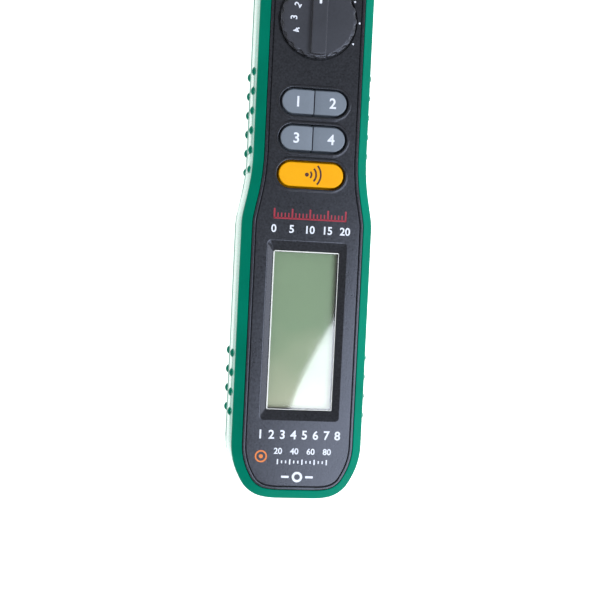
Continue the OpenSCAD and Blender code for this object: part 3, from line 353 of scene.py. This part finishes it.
# %% [markdown]
# ## The display
# The glass is a liquid crystal sandwich with a polariser film on its front. Switched off it is a dull
# green grey; toward one end it is painted paler and warmer, a painted reflection of the bright surroundings.
# The clear window over it is moulded acrylic. A real clear sheet lets most light through and mirrors a few
# per cent, or nearly all at a glancing angle. The shader mixes a see-through part with a mirror by that law,
# which costs less light than bending every ray.

# %% Display finishes
# Polariser film: matt green grey, with a paler, warmer painted reflection that grows toward one end of the
# glass.
# Its real grain is far finer than 0.4 mm, and is drawn that coarse so that it shows.
# The painted reflection is strongest 21 mm before the window's middle and gone 4 mm past it.
PAINTED_GLARE_END, GLARE_GONE_FROM = window_y - 21 * MM, window_y + 4 * MM
CLOUDS_IN_FILM_MM, FILM_GRAIN_MM, FILM_GRAIN_DEPTH_MM = 14.3, 0.4, 0.002
film, tree, shader = new_finish("polariser_film")
at = add_node(tree, "TexCoord").outputs["Object"]
axes = add_node(tree, "SeparateXYZ", {"Vector": at})
along = add_node(tree, "MapRange",
    {"Value": axes.outputs["Y"], "From Min": PAINTED_GLARE_END, "From Max": GLARE_GONE_FROM})
wave = add_node(tree, "TexNoise", {"Vector": at, "Scale": 1 / (CLOUDS_IN_FILM_MM * MM), "Detail": 1.0})
uneven = add_node(tree, "Math", {0: wave.outputs["Fac"], 1: along.outputs[0]}, operation="ADD")
painted_glare_drift = add_node(tree, "MapRange", {"Value": uneven.outputs[0], "From Min": 0.35, "From Max": 1.35})
tint = add_node(tree, "ValToRGB", {"Fac": painted_glare_drift.outputs[0]})
# The pale warm end of the ramp is the painted reflection; the green grey end is the film's own colour.
set_tints(tint.color_ramp, "#c4c6ad", "#8fa889")
weave = add_node(tree, "TexNoise", {"Vector": at, "Scale": 1 / (FILM_GRAIN_MM * MM), "Detail": 1.0})
relief = add_node(tree, "Bump",
    {"Height": weave.outputs["Fac"], "Strength": 0.5, "Distance": FILM_GRAIN_DEPTH_MM * MM})
fill(tree, shader, {"Base Color": tint.outputs["Color"], "Normal": relief.outputs[0], "Roughness": 0.4,
    "Specular IOR Level": 0.25})

# What a clear sheet mirrors straight on lies between the 0.04 of one face and the 0.08 of two. Toward a
# glancing angle the share grows with the fifth power of the slant.
STRAIGHT_ON_SHARE, SLANT_POWER = 0.052, 5.0
SWELL_DEPTH_MM = 0.01


def clear_sheet(name, tint_hex, roughness, wavy_mm):
    """A clear sheet or tube: see-through, with a Fresnel share of mirror and a slight waviness."""
    material, tree, shader = new_finish(name)
    at = add_node(tree, "TexCoord").outputs["Object"]
    swell = add_node(tree, "TexNoise", {"Vector": at, "Scale": 1 / (wavy_mm * MM), "Detail": 1.0})
    relief = add_node(tree, "Bump",
        {"Height": swell.outputs["Fac"], "Strength": 0.4, "Distance": SWELL_DEPTH_MM * MM})
    through = add_node(tree, "BsdfTransparent", {"Color": linear(tint_hex)})
    slant = add_node(tree, "LayerWeight", {"Normal": relief.outputs[0], "Blend": 0.5})
    steep = add_node(tree, "Math", {0: slant.outputs["Facing"], 1: SLANT_POWER}, operation="POWER")
    share = add_node(tree, "MapRange",
        {"Value": steep.outputs[0], "To Min": STRAIGHT_ON_SHARE, "To Max": 1.0})
    mixed = add_node(tree, "MixShader", {0: share.outputs[0], 1: through.outputs[0], 2: shader.outputs[0]})
    fill(tree, shader, {"Base Color": linear("#ffffff"), "Roughness": roughness, "Metallic": 1.0,
        "Normal": relief.outputs[0]})
    fill(tree, tree.nodes["Material Output"], {"Surface": mixed.outputs[0]})
    return material


# Acrylic window: almost no tint. Fuse glass: a trace of green.
acrylic = clear_sheet("clear_window_acrylic", "#f6f8f5", 0.04, 14)
fuse_tube = clear_sheet("fuse_tube_glass", "#e6efe9", 0.05, 6)
print("display finishes:", film.name, acrylic.name, fuse_tube.name)

# %% [markdown]
# ## The board, the lamp and the cells
# A circuit board is glass cloth in epoxy under a green lacquer, with copper tracks that show as paler
# lines and tinned pads as bright dots. The small parts on it are fired ceramic. The lamp is a cast red epoxy
# lens. A cell's steel can is wrapped in a printed film, shrunk on by heat, with a coloured band at its plus
# end.

# %% Board, lamp and cell finishes
# The brick pattern draws the tracks, 1.4 mm apart, which is a quarter of its unit.
TRACK_UNIT_MM, PAD_SPACING_MM, PAD_RADIUS_SHARE, SOLDER_MM = 5.56, 2.38, 0.16, 0.03
board_lacquer, tree, shader = new_finish("green_board_lacquer")
at = add_node(tree, "TexCoord").outputs["Object"]
tracks = add_node(tree, "TexBrick", {"Vector": at, "Scale": 1 / (TRACK_UNIT_MM * MM), "Mortar Size": 0.035,
    "Color1": linear("#0e5a34"), "Color2": linear("#0c4f2d"), "Mortar": linear("#2b8a52")}, offset=0.4)
pads = add_node(tree, "TexVoronoi", {"Vector": at, "Scale": 1 / (PAD_SPACING_MM * MM), "Randomness": 0.7})
dots = add_node(tree, "Math", {0: pads.outputs["Distance"], 1: PAD_RADIUS_SHARE}, operation="LESS_THAN")
tinned = add_node(tree, "Mix", {0: dots.outputs[0], 6: tracks.outputs["Color"], 7: linear("#c9c9c4")},
    data_type="RGBA")
relief = add_node(tree, "Bump", {"Height": dots.outputs[0], "Strength": 0.6, "Distance": SOLDER_MM * MM})
fill(tree, shader, {"Base Color": tinned.outputs[2], "Metallic": dots.outputs[0],
    "Normal": relief.outputs[0], "Roughness": 0.3})

# Cast red epoxy: lets light in, with faint flow clouds and a smooth skin.
FLOW_MM = 1.11
red_epoxy, tree, shader = new_finish("cast_red_epoxy")
at = add_node(tree, "TexCoord").outputs["Object"]
flow = add_node(tree, "TexNoise", {"Vector": at, "Scale": 1 / (FLOW_MM * MM), "Detail": 2.0})
tint = add_node(tree, "ValToRGB", {"Fac": flow.outputs["Fac"]})
set_tints(tint.color_ramp, "#a80a14", "#c8141f")
fill(tree, shader, {"Base Color": tint.outputs["Color"], "Transmission Weight": 0.35, "Roughness": 0.12})

# Shrink film of the cells: graphite with an ochre band at the plus end. The two cells lie head to tail,
# so the way along the cell is turned round for the one on the right. The band starts at a share of the
# length that both cells take up.
BAND_SHARE, RIPPLE_MM, RIPPLE_DEPTH_MM = 0.72, 2, 0.02
shrink_film, tree, shader = new_finish("cell_shrink_film")
at = add_node(tree, "TexCoord").outputs["Object"]
axes = add_node(tree, "SeparateXYZ", {"Vector": at})
along = add_node(tree, "MapRange",
    {"Value": axes.outputs["Y"], "From Min": cells_low.y, "From Max": cells_high.y})
flip = add_node(tree, "Math", {0: axes.outputs["X"], 1: 0.0}, operation="GREATER_THAN")
turned = add_node(tree, "Math", {0: flip.outputs[0], 1: along.outputs[0]}, operation="SUBTRACT")
length = add_node(tree, "Math", {0: turned.outputs[0]}, operation="ABSOLUTE")
band = add_node(tree, "Math", {0: length.outputs[0], 1: BAND_SHARE}, operation="GREATER_THAN")
ripple = add_node(tree, "TexNoise", {"Vector": at, "Scale": 1 / (RIPPLE_MM * MM), "Detail": 2.0})
two_tone = add_node(tree, "Mix", {0: band.outputs[0], 6: linear("#26282c"), 7: linear("#c98b1e")},
    data_type="RGBA")
relief = add_node(tree, "Bump",
    {"Height": ripple.outputs["Fac"], "Strength": 0.5, "Distance": RIPPLE_DEPTH_MM * MM})
fill(tree, shader, {"Base Color": two_tone.outputs[2], "Normal": relief.outputs[0], "Roughness": 0.25})

# Fired ceramic of the small board parts: tan, dull, with a fine speckle.
tan_ceramic = moulded("tan_fired_ceramic", "#b8955f", "#9f7f4d", 0.5, 0.25, 0.004, speck=0.6)
# Painted highlight for the window's cut edge: a near-white colour on thin strips over the pane, standing for
# the light that the edge of the sheet catches.
edge_highlight_paint = moulded("painted_window_edge_highlight", "#f2f4f0", "#e2e6e0", 0.4, 0.3, 0.004, speck=0.5)
print("finishes:", board_lacquer.name, red_epoxy.name, shrink_film.name, tan_ceramic.name, edge_highlight_paint.name)

# %% [markdown]
# ## Copies of the solids with soft edges
# A moulded edge is never knife sharp: it has a radius of a few tenths of a millimetre that catches the
# light as a thin line. A solid from the frame is loose triangles, so the copy is merged first, and its flat
# triangles are joined into faces without hollows. Then only the edges that are sharp and lie in the right
# place are bevelled. A weighted normal keeps the flat faces flat. The copy takes over from the solid.

# %% Rounding a copy
MERGE = 0.001 * MM
FLAT_WITHIN = math.radians(0.3)
EDGE_STEPS = 3


def pick(piece):
    """Makes one piece the only selected and active one."""
    bpy.ops.object.select_all(action="DESELECT")
    piece.select_set(True)
    bpy.context.view_layer.objects.active = piece


def round_edges(piece, width_mm, where, corner):
    """Bevels the sharp edges whose middle passes the test, as a mould maker breaks an edge."""
    pick(piece)
    bpy.ops.object.mode_set(mode="EDIT")
    bpy.ops.mesh.select_mode(type="EDGE")
    bpy.ops.mesh.select_all(action="DESELECT")
    bpy.ops.mesh.edges_select_sharp(sharpness=math.radians(corner))
    bpy.ops.object.mode_set(mode="OBJECT")
    points = piece.data.vertices
    sharp = [edge.index for edge in piece.data.edges if edge.select]
    for part in (*points, *piece.data.polygons):
        part.select = False
    chosen = 0
    for index in sharp:
        edge = piece.data.edges[index]
        middle = (points[edge.vertices[0]].co + points[edge.vertices[1]].co) / 2
        edge.select = bool(where(middle))
        chosen += edge.select
    bpy.ops.object.mode_set(mode="EDIT")
    if chosen:
        bpy.ops.mesh.bevel(offset=width_mm * MM, segments=EDGE_STEPS, affect="EDGES",
            clamp_overlap=False, loop_slide=False)
    bpy.ops.object.mode_set(mode="OBJECT")
    return chosen


def finish_surface(piece, angle=32):
    """Smooth shading up to an angle, with flat faces kept flat."""
    pick(piece)
    bpy.ops.object.shade_smooth_by_angle(angle=math.radians(angle))
    bpy.ops.object.modifier_add(type="WEIGHTED_NORMAL")
    weighted = piece.modifiers[-1]
    weighted.keep_sharp = True
    bpy.ops.object.modifier_apply(modifier=weighted.name)


def soft_copy(node, name, body, material, width_mm, where, corner=25, smooth=32):
    """A merged copy of a solid with some edges rounded, standing in for it."""
    source = frame["nodes"][node]
    piece = source.copy()
    piece.data = source.data.copy()
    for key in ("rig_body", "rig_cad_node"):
        del piece[key]
    piece.parent = None
    piece.name = name
    bpy.context.scene.collection.objects.link(piece)
    pick(piece)
    bpy.ops.object.mode_set(mode="EDIT")
    bpy.ops.mesh.select_all(action="SELECT")
    bpy.ops.mesh.remove_doubles(threshold=MERGE)
    bpy.ops.mesh.dissolve_limited(angle_limit=FLAT_WITHIN)
    bpy.ops.mesh.select_all(action="SELECT")
    bpy.ops.mesh.vert_connect_concave()
    bpy.ops.object.mode_set(mode="OBJECT")
    chosen = round_edges(piece, width_mm, where, corner)
    finish_surface(piece, smooth)
    piece.data.materials.clear()
    piece.data.materials.append(material)
    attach(piece, body)
    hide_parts(node)
    print(name, "edges rounded:", chosen, "faces:", len(piece.data.polygons))


# %% [markdown]
# ## Casing and face
# The green casing has a sloped band round the face. Its edges are soft, while the parting line stays
# crisp. The dark face has a raised collar round each key and a recess for the window. Their edges are
# shallow, so that copy takes edges from 14 degrees on.

# %% Casing and face copies
BAND_FOOT, BACK_RIM, FACE_FOOT = 20.5 * MM, 0.3 * MM, 23.5 * MM
soft_copy("front_frame", "casing_front", "casing", green_abs,
    width_mm=0.45, where=lambda p: p.z > BAND_FOOT)
soft_copy("rear_shell", "casing_back", "casing", green_abs,
    width_mm=0.25, where=lambda p: p.z < BACK_RIM)
soft_copy("face_plate", "face", "casing", dark_abs,
    width_mm=0.16, where=lambda p: p.z > FACE_FOOT, corner=14, smooth=24)

# %% [markdown]
# ## Keys
# Each key cap is silicone with a generous edge radius. The two grey pills are split in halves that slope
# toward the middle. All are the same shape as their solids, so copies with a rounder rim serve.

# %% Key copies
KEY_RIM = key_top - 0.2 * MM
finish_of_key = {"range_key": grey_silicone, "hold_key": grey_silicone, "max_key": grey_silicone,
    "function_key": grey_silicone, "sensing_key": yellow_silicone}
for node, material in finish_of_key.items():
    soft_copy(node, node + "_top", node + "_cap", material,
        width_mm=0.32, where=lambda p: p.z > KEY_RIM)

# %% [markdown]
# ## Knob, cover and nose
# The knob is turned by the finger scallops on its rim and by its grip bar. Both get worn, rounded edges.
# The battery cover and the nose cone get a fine break of their edges.

# %% Knob, cover and nose copies
KNOB_FOOT, NOSE_FROM, SLEEVE_END_FROM = 25.8 * MM, 66 * MM, 90 * MM
soft_copy("function_knob", "knob_grip", "knob", knob_abs,
    width_mm=0.3, where=lambda p: p.z > KNOB_FOOT)
soft_copy("battery_cover", "cover_plate", "cover", green_abs,
    width_mm=0.2, where=lambda p: p.z < BACK_RIM)
soft_copy("nose_cone", "nose", "casing", knob_abs,
    width_mm=0.2, where=lambda p: p.y > NOSE_FROM)
soft_copy("probe_pin", "probe", "casing", nickel,
    width_mm=0.06, where=lambda p: p.y > NOSE_FROM)
soft_copy("tip_sleeve", "sleeve", "casing", red_nylon,
    width_mm=0.25, where=lambda p: p.y > SLEEVE_END_FROM)

# %% [markdown]
# ## Printed marks
# The marks on the meter are pad printed: a silicone pad lays down a film of epoxy ink about a hundredth
# of a millimetre thick. The marks are plain ones: a ruled scale, numbers, ticks and rings. Each is a real
# thin shape on the plastic, so its edge stays crisp at any distance. Marks of one ink on one body are joined
# into one piece.

# %% Ink
PATCH_MM, PATCH_DEPTH_MM = 0.625, 0.004


def printing_ink(name, light_hex, dark_hex):
    """Pad printing ink: half matt, with an uneven film."""
    material, tree, shader = new_finish(name)
    at = add_node(tree, "TexCoord").outputs["Object"]
    patch = add_node(tree, "TexNoise", {"Vector": at, "Scale": 1 / (PATCH_MM * MM), "Detail": 2.0})
    tint = add_node(tree, "ValToRGB", {"Fac": patch.outputs["Fac"]})
    set_tints(tint.color_ramp, dark_hex, light_hex, first_at=0.3, last_at=0.6)
    relief = add_node(tree, "Bump",
        {"Height": patch.outputs["Fac"], "Strength": 0.4, "Distance": PATCH_DEPTH_MM * MM})
    fill(tree, shader, {"Base Color": tint.outputs["Color"], "Normal": relief.outputs[0], "Roughness": 0.45,
        "Specular IOR Level": 0.4})
    return material


white_ink = printing_ink("white_pad_ink", "#e2e8f2", "#d6dce6")
red_ink = printing_ink("red_pad_ink", "#a01430", "#8f1029")
brown_ink = printing_ink("dark_brown_pad_ink", "#430c00", "#360900")
orange_ink = printing_ink("orange_pad_ink", "#de7a2c", "#d27023")
print("inks:", white_ink.name, red_ink.name, brown_ink.name, orange_ink.name)

# %% Tools for marks
# The ink is drawn three times as thick as the real film, because half of it lies in the plastic.
INK = 0.03 * MM
# Text is made in units of its own, one unit thick, and then scaled. Its strokes are a little bolder than the
# font's.
TEXT_HALF_THICK, STROKE_BOLDER, CURVE_STEPS, TEXT_MERGE = 0.5, 0.02, 5, 0.0005
CORNER_SHARE = 0.3
ARC_STEP, FEWEST_STEPS = 12, 6
ARC_MERGE = 0.0001 * MM


def settle():
    """Puts the active object's place, turn and scale into its mesh."""
    bpy.ops.object.transform_apply(location=True, rotation=True, scale=True)
    return bpy.context.object


def numerals(words, height, x, y, z, turn=0.0):
    """Plain numbers on a surface at height z, centred on x and y. Sizes in millimetres, z in metres."""
    bpy.ops.object.select_all(action="DESELECT")
    bpy.ops.object.text_add()
    sign = bpy.context.object
    sign.data.body = words
    sign.data.align_x, sign.data.align_y = "CENTER", "CENTER"
    sign.data.extrude, sign.data.offset = TEXT_HALF_THICK, STROKE_BOLDER
    sign.data.resolution_u = CURVE_STEPS
    bpy.ops.object.convert(target="MESH")
    sign = bpy.context.object
    bpy.ops.object.mode_set(mode="EDIT")
    bpy.ops.mesh.select_all(action="SELECT")
    bpy.ops.mesh.remove_doubles(threshold=TEXT_MERGE)
    bpy.ops.mesh.normals_make_consistent(inside=False)
    bpy.ops.object.mode_set(mode="OBJECT")
    heights = [vertex.co.y for vertex in sign.data.vertices]
    foot, top = min(heights), max(heights)
    for vertex in sign.data.vertices:
        vertex.co.y -= (foot + top) / 2
    size = height * MM / (top - foot)
    sign.scale = (size, size, INK)
    sign.rotation_euler = (0, 0, math.radians(turn))
    sign.location = (x * MM, y * MM, z)
    return settle()


def bar(x, y, z, width, length):
    """A short printed bar with rounded corners. Sizes in millimetres, z in metres."""
    bpy.ops.object.select_all(action="DESELECT")
    bpy.ops.mesh.primitive_cube_add(size=1, location=(x * MM, y * MM, z))
    strip = bpy.context.object
    strip.scale = (width * MM, length * MM, INK)
    settle()
    bpy.ops.object.mode_set(mode="EDIT")
    bpy.ops.mesh.select_mode(type="EDGE")
    bpy.ops.mesh.select_all(action="DESELECT")
    bpy.ops.object.mode_set(mode="OBJECT")
    points = strip.data.vertices
    for edge in strip.data.edges:
        start, end = (points[i].co for i in edge.vertices)
        edge.select = abs(start.z - end.z) > INK / 2
    bpy.ops.object.mode_set(mode="EDIT")
    bpy.ops.mesh.bevel(offset=min(width, length) * CORNER_SHARE * MM, segments=EDGE_STEPS, affect="EDGES")
    bpy.ops.object.mode_set(mode="OBJECT")
    return strip


def thicken(piece, thickness, offset):
    """Gives the active thin piece its thickness, half to each side where the offset is 0."""
    bpy.ops.object.modifier_add(type="SOLIDIFY")
    wall = piece.modifiers[-1]
    wall.thickness, wall.offset = thickness, offset
    bpy.ops.object.modifier_apply(modifier=wall.name)


def ring(x, y, z, radius, width, start=0.0, sweep=360.0):
    """A printed ring or arc, spun from a short edge. Sizes in millimetres, z in metres, angles in degrees."""
    bpy.ops.object.select_all(action="DESELECT")
    centre = Vector((x * MM, y * MM, z))
    bpy.ops.mesh.primitive_plane_add(size=width * MM, location=centre)
    band = settle()
    towards = Vector((math.cos(math.radians(start)), math.sin(math.radians(start)), 0))
    for index, reach in ((0, radius - width / 2), (1, radius + width / 2)):
        band.data.vertices[index].co = centre + towards * reach * MM
    bpy.ops.object.mode_set(mode="EDIT")
    bpy.ops.mesh.select_mode(type="VERT")
    bpy.ops.mesh.select_all(action="DESELECT")
    bpy.ops.object.mode_set(mode="OBJECT")
    for vertex in band.data.vertices:
        vertex.select = vertex.index > 1
    bpy.ops.object.mode_set(mode="EDIT")
    bpy.ops.mesh.delete(type="VERT")
    bpy.ops.mesh.select_all(action="SELECT")
    steps = max(FEWEST_STEPS, int(sweep / ARC_STEP))
    # Spin turns clockwise seen from above, so the angle is made negative.
    bpy.ops.mesh.spin(steps=steps, angle=-math.radians(sweep), center=centre, axis=(0, 0, 1))
    bpy.ops.mesh.select_all(action="SELECT")
    bpy.ops.mesh.remove_doubles(threshold=ARC_MERGE)
    bpy.ops.mesh.normals_make_consistent(inside=False)
    bpy.ops.object.mode_set(mode="OBJECT")
    if sum(face.normal.z for face in band.data.polygons) < 0:
        bpy.ops.object.mode_set(mode="EDIT")
        bpy.ops.mesh.flip_normals()
        bpy.ops.object.mode_set(mode="OBJECT")
    thicken(band, INK, 0)
    return band


def print_marks(name, marks, ink, body):
    """Joins marks into one piece that rides on a body."""
    bpy.ops.object.select_all(action="DESELECT")
    for mark in marks:
        mark.select_set(True)
    bpy.context.view_layer.objects.active = marks[0]
    bpy.ops.object.join()
    piece = bpy.context.object
    piece.name = name
    piece.data.materials.clear()
    piece.data.materials.append(ink)
    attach(piece, body)
    print(name, "marks:", len(marks), "faces:", len(piece.data.polygons))
    return piece


print("ink film", INK / MM, "mm thick")

# %% [markdown]
# ## What is printed on the face
# Between the keys and the window runs a ruled scale of twenty millimetres with its numbers. Under the window
# stand a row of plain numbers, a finer row with ticks and a mark for the socket. The heights of the print and
# its distances from the window follow the photograph.

# %% Marks on the face
window_top, window_foot = pane_high.y / MM, pane_low.y / MM
RULE_X, RULE_OVER_WINDOW, SCALE_OVER_WINDOW = 0.4, 8.95, 6.05
RULE_LENGTH, RULE_END, LONG_TICK, SHORT_TICK = 20, 0.25, 2.7, 1.5
rule_y = window_top + RULE_OVER_WINDOW
ticks = [bar(RULE_X, rule_y, face_z, width=RULE_LENGTH + 2 * RULE_END, length=0.42)]
for step in range(RULE_LENGTH + 1):
    tall, wide = (LONG_TICK, 0.46) if step % 5 == 0 else (SHORT_TICK, 0.34)
    x = RULE_X - RULE_LENGTH / 2 + step
    ticks.append(bar(x, rule_y + tall / 2, face_z, width=wide, length=tall))
print_marks("ruled_scale", ticks, red_ink, "casing")


def number_row(words, height, spacing, x, y):
    """Numbers on the face at one spacing, with the middle of the row at x and y."""
    first = x - spacing * (len(words) - 1) / 2
    return [numerals(word, height, first + spacing * i, y, face_z) for i, word in enumerate(words)]


# How far the rows of print lie under the window's foot, and their middles.
PLAIN_UNDER, TENS_UNDER, RING_UNDER, TICKS_UNDER, SOCKET_UNDER = 6.85, 11.45, 13.05, 14.45, 18.65
PLAIN_X, TENS_X, RING_X, SOCKET_X, SOCKET_REACH = 0.2, 1.4, -10.2, 0.2, 3.4
FINE_TICKS, FINE_SPACING, FINE_LONG, FINE_SHORT = 13, 1.15, 1.5, 0.8
whites = number_row(["0", "5", "10", "15", "20"], height=2.2, spacing=5, x=RULE_X,
    y=window_top + SCALE_OVER_WINDOW)
whites += number_row(["1", "2", "3", "4", "5", "6", "7", "8"], height=2.5, spacing=3.1, x=PLAIN_X,
    y=window_foot - PLAIN_UNDER)
whites += number_row(["20", "40", "60", "80"], height=1.75, spacing=4.6, x=TENS_X,
    y=window_foot - TENS_UNDER)
for step in range(FINE_TICKS):
    x = TENS_X + FINE_SPACING * (step - (FINE_TICKS - 1) / 2)
    tall = FINE_LONG if step % 3 == 0 else FINE_SHORT
    whites.append(bar(x, window_foot - TICKS_UNDER, face_z, width=0.36, length=tall))
whites.append(ring(SOCKET_X, window_foot - SOCKET_UNDER, face_z, radius=1.15, width=0.66))
for side in (-1, 1):
    x = SOCKET_X + side * SOCKET_REACH
    whites.append(bar(x, window_foot - SOCKET_UNDER, face_z, width=2.2, length=0.62))
print_marks("white_print", whites, white_ink, "casing")
orange = [ring(RING_X, window_foot - RING_UNDER, face_z, radius=1.5, width=0.42),
    ring(RING_X, window_foot - RING_UNDER, face_z, radius=0.3, width=0.55)]
print_marks("orange_print", orange, orange_ink, "casing")

# %% [markdown]
# ## Marks on the keys
# Each grey key half has a plain number. The yellow key works the sensor, so it carries three waves.

# %% Marks on the keys
LEFT_HALF_X, RIGHT_HALF_X, NUMBER_HEIGHT = -4.6, 5.1, 2.9
WAVES_X, WAVE_SPACING, WAVE_WIDTH, WAVE_START, WAVE_SWEEP = -1.2, 1.3, 0.5, -42, 84
for words, key, x, y in (("1", "range_key", LEFT_HALF_X, first_row),
        ("2", "hold_key", RIGHT_HALF_X, first_row), ("3", "max_key", LEFT_HALF_X, second_row),
        ("4", "function_key", RIGHT_HALF_X, second_row)):
    number = numerals(words, NUMBER_HEIGHT, x, y / MM, key_top)
    print_marks(key + "_number", [number], white_ink, key + "_cap")
waves = [ring(WAVES_X, yellow_row / MM, key_top, WAVE_SPACING * count, WAVE_WIDTH, WAVE_START, WAVE_SWEEP)
    for count in (1, 2, 3)]
waves.append(ring(WAVES_X, yellow_row / MM, key_top, radius=0.3, width=WAVE_WIDTH))
print_marks("sensing_key_waves", waves, brown_ink, "sensing_key_cap")

# %% [markdown]
# ## Marks round the knob
# The knob has five positions, thirty degrees apart. The numbers are on the knob itself and come under a fixed
# index on the face, as on a safe dial, because the casing is too narrow for numbers beside the knob. A white
# line on the grip shows the turn at a glance.

# %% Marks round the knob
# The index stands at the knob's far side, 90 degrees round from the x axis.
FAR_SIDE, STEP_TURN, LAST_STEP, DIAL_NUMBER_HEIGHT = 90, 30, 4, 1.9
LINE_REACH, NUMBERS_REACH, DOTS_REACH, INDEX_REACH = 6.6, 7.0, 11.65, 12.0
# The line is sunk a little, so that the dressed meter stays within its height.
LINE_SUNK = 0.01 * MM


def on_circle(reach, degrees):
    """A place round the knob's axis, in millimetres."""
    angle = math.radians(degrees)
    return reach * math.cos(angle), knob_y / MM + reach * math.sin(angle)


dial = [bar(0, knob_y / MM + LINE_REACH, knob_top - LINE_SUNK, width=0.7, length=5.4)]
index = [bar(0, knob_y / MM + INDEX_REACH, face_z, width=0.55, length=1.4)]
for step in range(1, LAST_STEP + 1):
    x, y = on_circle(NUMBERS_REACH, FAR_SIDE + STEP_TURN * step)
    dial.append(numerals(str(step), DIAL_NUMBER_HEIGHT, x, y, disc_top, turn=STEP_TURN * step))
    x, y = on_circle(DOTS_REACH, FAR_SIDE - STEP_TURN * step)
    index.append(ring(x, y, face_z, radius=0.14, width=0.27))
print_marks("knob_print", dial, white_ink, "knob")
print_marks("knob_index", index, white_ink, "casing")

# %% [markdown]
# ## The painted highlight on the window's edge, and the wrapped cells
# The light caught in the cut edge of the window pane is painted as a fine white line round the display,
# widest on the left and at the far end, where the light from the right shines into it. Each cell gets its
# film as a thin tube, and a plus and a minus on the side that is seen when the cover is off.

# %% Window edge, a painted highlight
# The widths are those of the painted highlight: widest where the light from the right falls into the edge.
LEFT_EDGE, RIGHT_EDGE, NEAR_EDGE, FAR_EDGE = 0.3, 0.13, 0.15, 0.26
EDGE_PROUD = 0.01 * MM
edge_top = pane_high.z + EDGE_PROUD
pane_middle, pane_size = (pane_low + pane_high) / 2 / MM, (pane_high - pane_low) / MM
highlight_strips = []
for side, width in ((-1, LEFT_EDGE), (1, RIGHT_EDGE)):
    x = pane_middle.x + side * (pane_size.x - width) / 2
    highlight_strips.append(bar(x, pane_middle.y, edge_top, width, pane_size.y))
for side, width in ((-1, NEAR_EDGE), (1, FAR_EDGE)):
    y = pane_middle.y + side * (pane_size.y - width) / 2
    highlight_strips.append(bar(pane_middle.x, y, edge_top, pane_size.x, width))
print_marks("window_edge_painted_highlight", highlight_strips, edge_highlight_paint, "casing")

# %% Cell films and their marks
# A cell's length is with its nub, so the middle of its film lies a little back from the plus end.
CELL_LENGTH, WRAP_LENGTH, WRAP_BACK, WRAP_SIDES = 44.5, 42.4, 0.5, 56
# The film's outer side stands 0.03 mm over the cell. Only a share of that is solid, so that the inner side
# stays clear of the cell.
WRAP_RISE, SOLID_SHARE = 0.03, 0.8
SIGN_REACH, SIGN_LONG, SIGN_THIN = 17, 2.2, 0.55
cell_r, cell_z = (cells_high.z - cells_low.z) / 2 / MM, (cells_high.z + cells_low.z) / 2 / MM
cell_x = cells_high.x / MM - cell_r
left_y, right_y = cells_high.y / MM - CELL_LENGTH / 2, cells_low.y / MM + CELL_LENGTH / 2
under = (cell_z - cell_r - WRAP_RISE) * MM
films, signs = [], []
for x, cell_y, plus in ((-cell_x, left_y, 1), (cell_x, right_y, -1)):
    bpy.ops.object.select_all(action="DESELECT")
    middle = cell_y - plus * WRAP_BACK
    bpy.ops.mesh.primitive_cylinder_add(vertices=WRAP_SIDES, radius=(cell_r + WRAP_RISE) * MM,
        depth=WRAP_LENGTH * MM, end_fill_type="NOTHING", location=(x * MM, middle * MM, cell_z * MM),
        rotation=(math.radians(90), 0, 0))
    wrap = settle()
    thicken(wrap, WRAP_RISE * MM * SOLID_SHARE, -1)
    films.append(wrap)
    plus_y, minus_y = middle + plus * SIGN_REACH, middle - plus * SIGN_REACH
    signs.append(bar(x, plus_y, under, SIGN_LONG, SIGN_THIN))
    signs.append(bar(x, plus_y, under, SIGN_THIN, SIGN_LONG))
    signs.append(bar(x, minus_y, under, SIGN_LONG, SIGN_THIN))
finish_surface(print_marks("cell_films", films, shrink_film, "casing"))
print_marks("cell_signs", signs, white_ink, "casing")

# %% [markdown]
# ## The rest of the solids
# The parts inside already have their true shape, so each keeps its solid and only gets its finish.

# %% Finishes of the solids that stay
inside = {
    "window_pane": acrylic, "lcd_glass": film, "lcd_holder": black_abs, "contact_strips": grey_rubber,
    "key_switches": black_abs, "snap_domes": nickel, "knob_screw": nickel, "wiper_rotor": white_acetal,
    "wiper_contacts": copper, "detent_balls": nickel, "detent_springs": nickel, "detent_ring": white_acetal,
    "main_board": board_lacquer, "board_screws": nickel, "meter_chip": black_abs, "board_parts": tan_ceramic,
    "buzzer": black_abs, "fuse_glass": fuse_tube, "fuse_caps": nickel, "fuse_clips": brass,
    "current_shunt": copper, "sensing_plate": copper, "sensing_lamp": red_epoxy, "cover_screw": nickel,
    "case_screws": nickel, "battery_cells": nickel, "cell_springs": nickel, "cell_plates": nickel,
    "socket_insulator": black_abs, "socket_contact": brass, "probe_tab": brass,
}
for node, material in inside.items():
    solid = frame["nodes"][node]
    solid.data.materials.clear()
    solid.data.materials.append(material)
print("solids that stay:", len(inside))
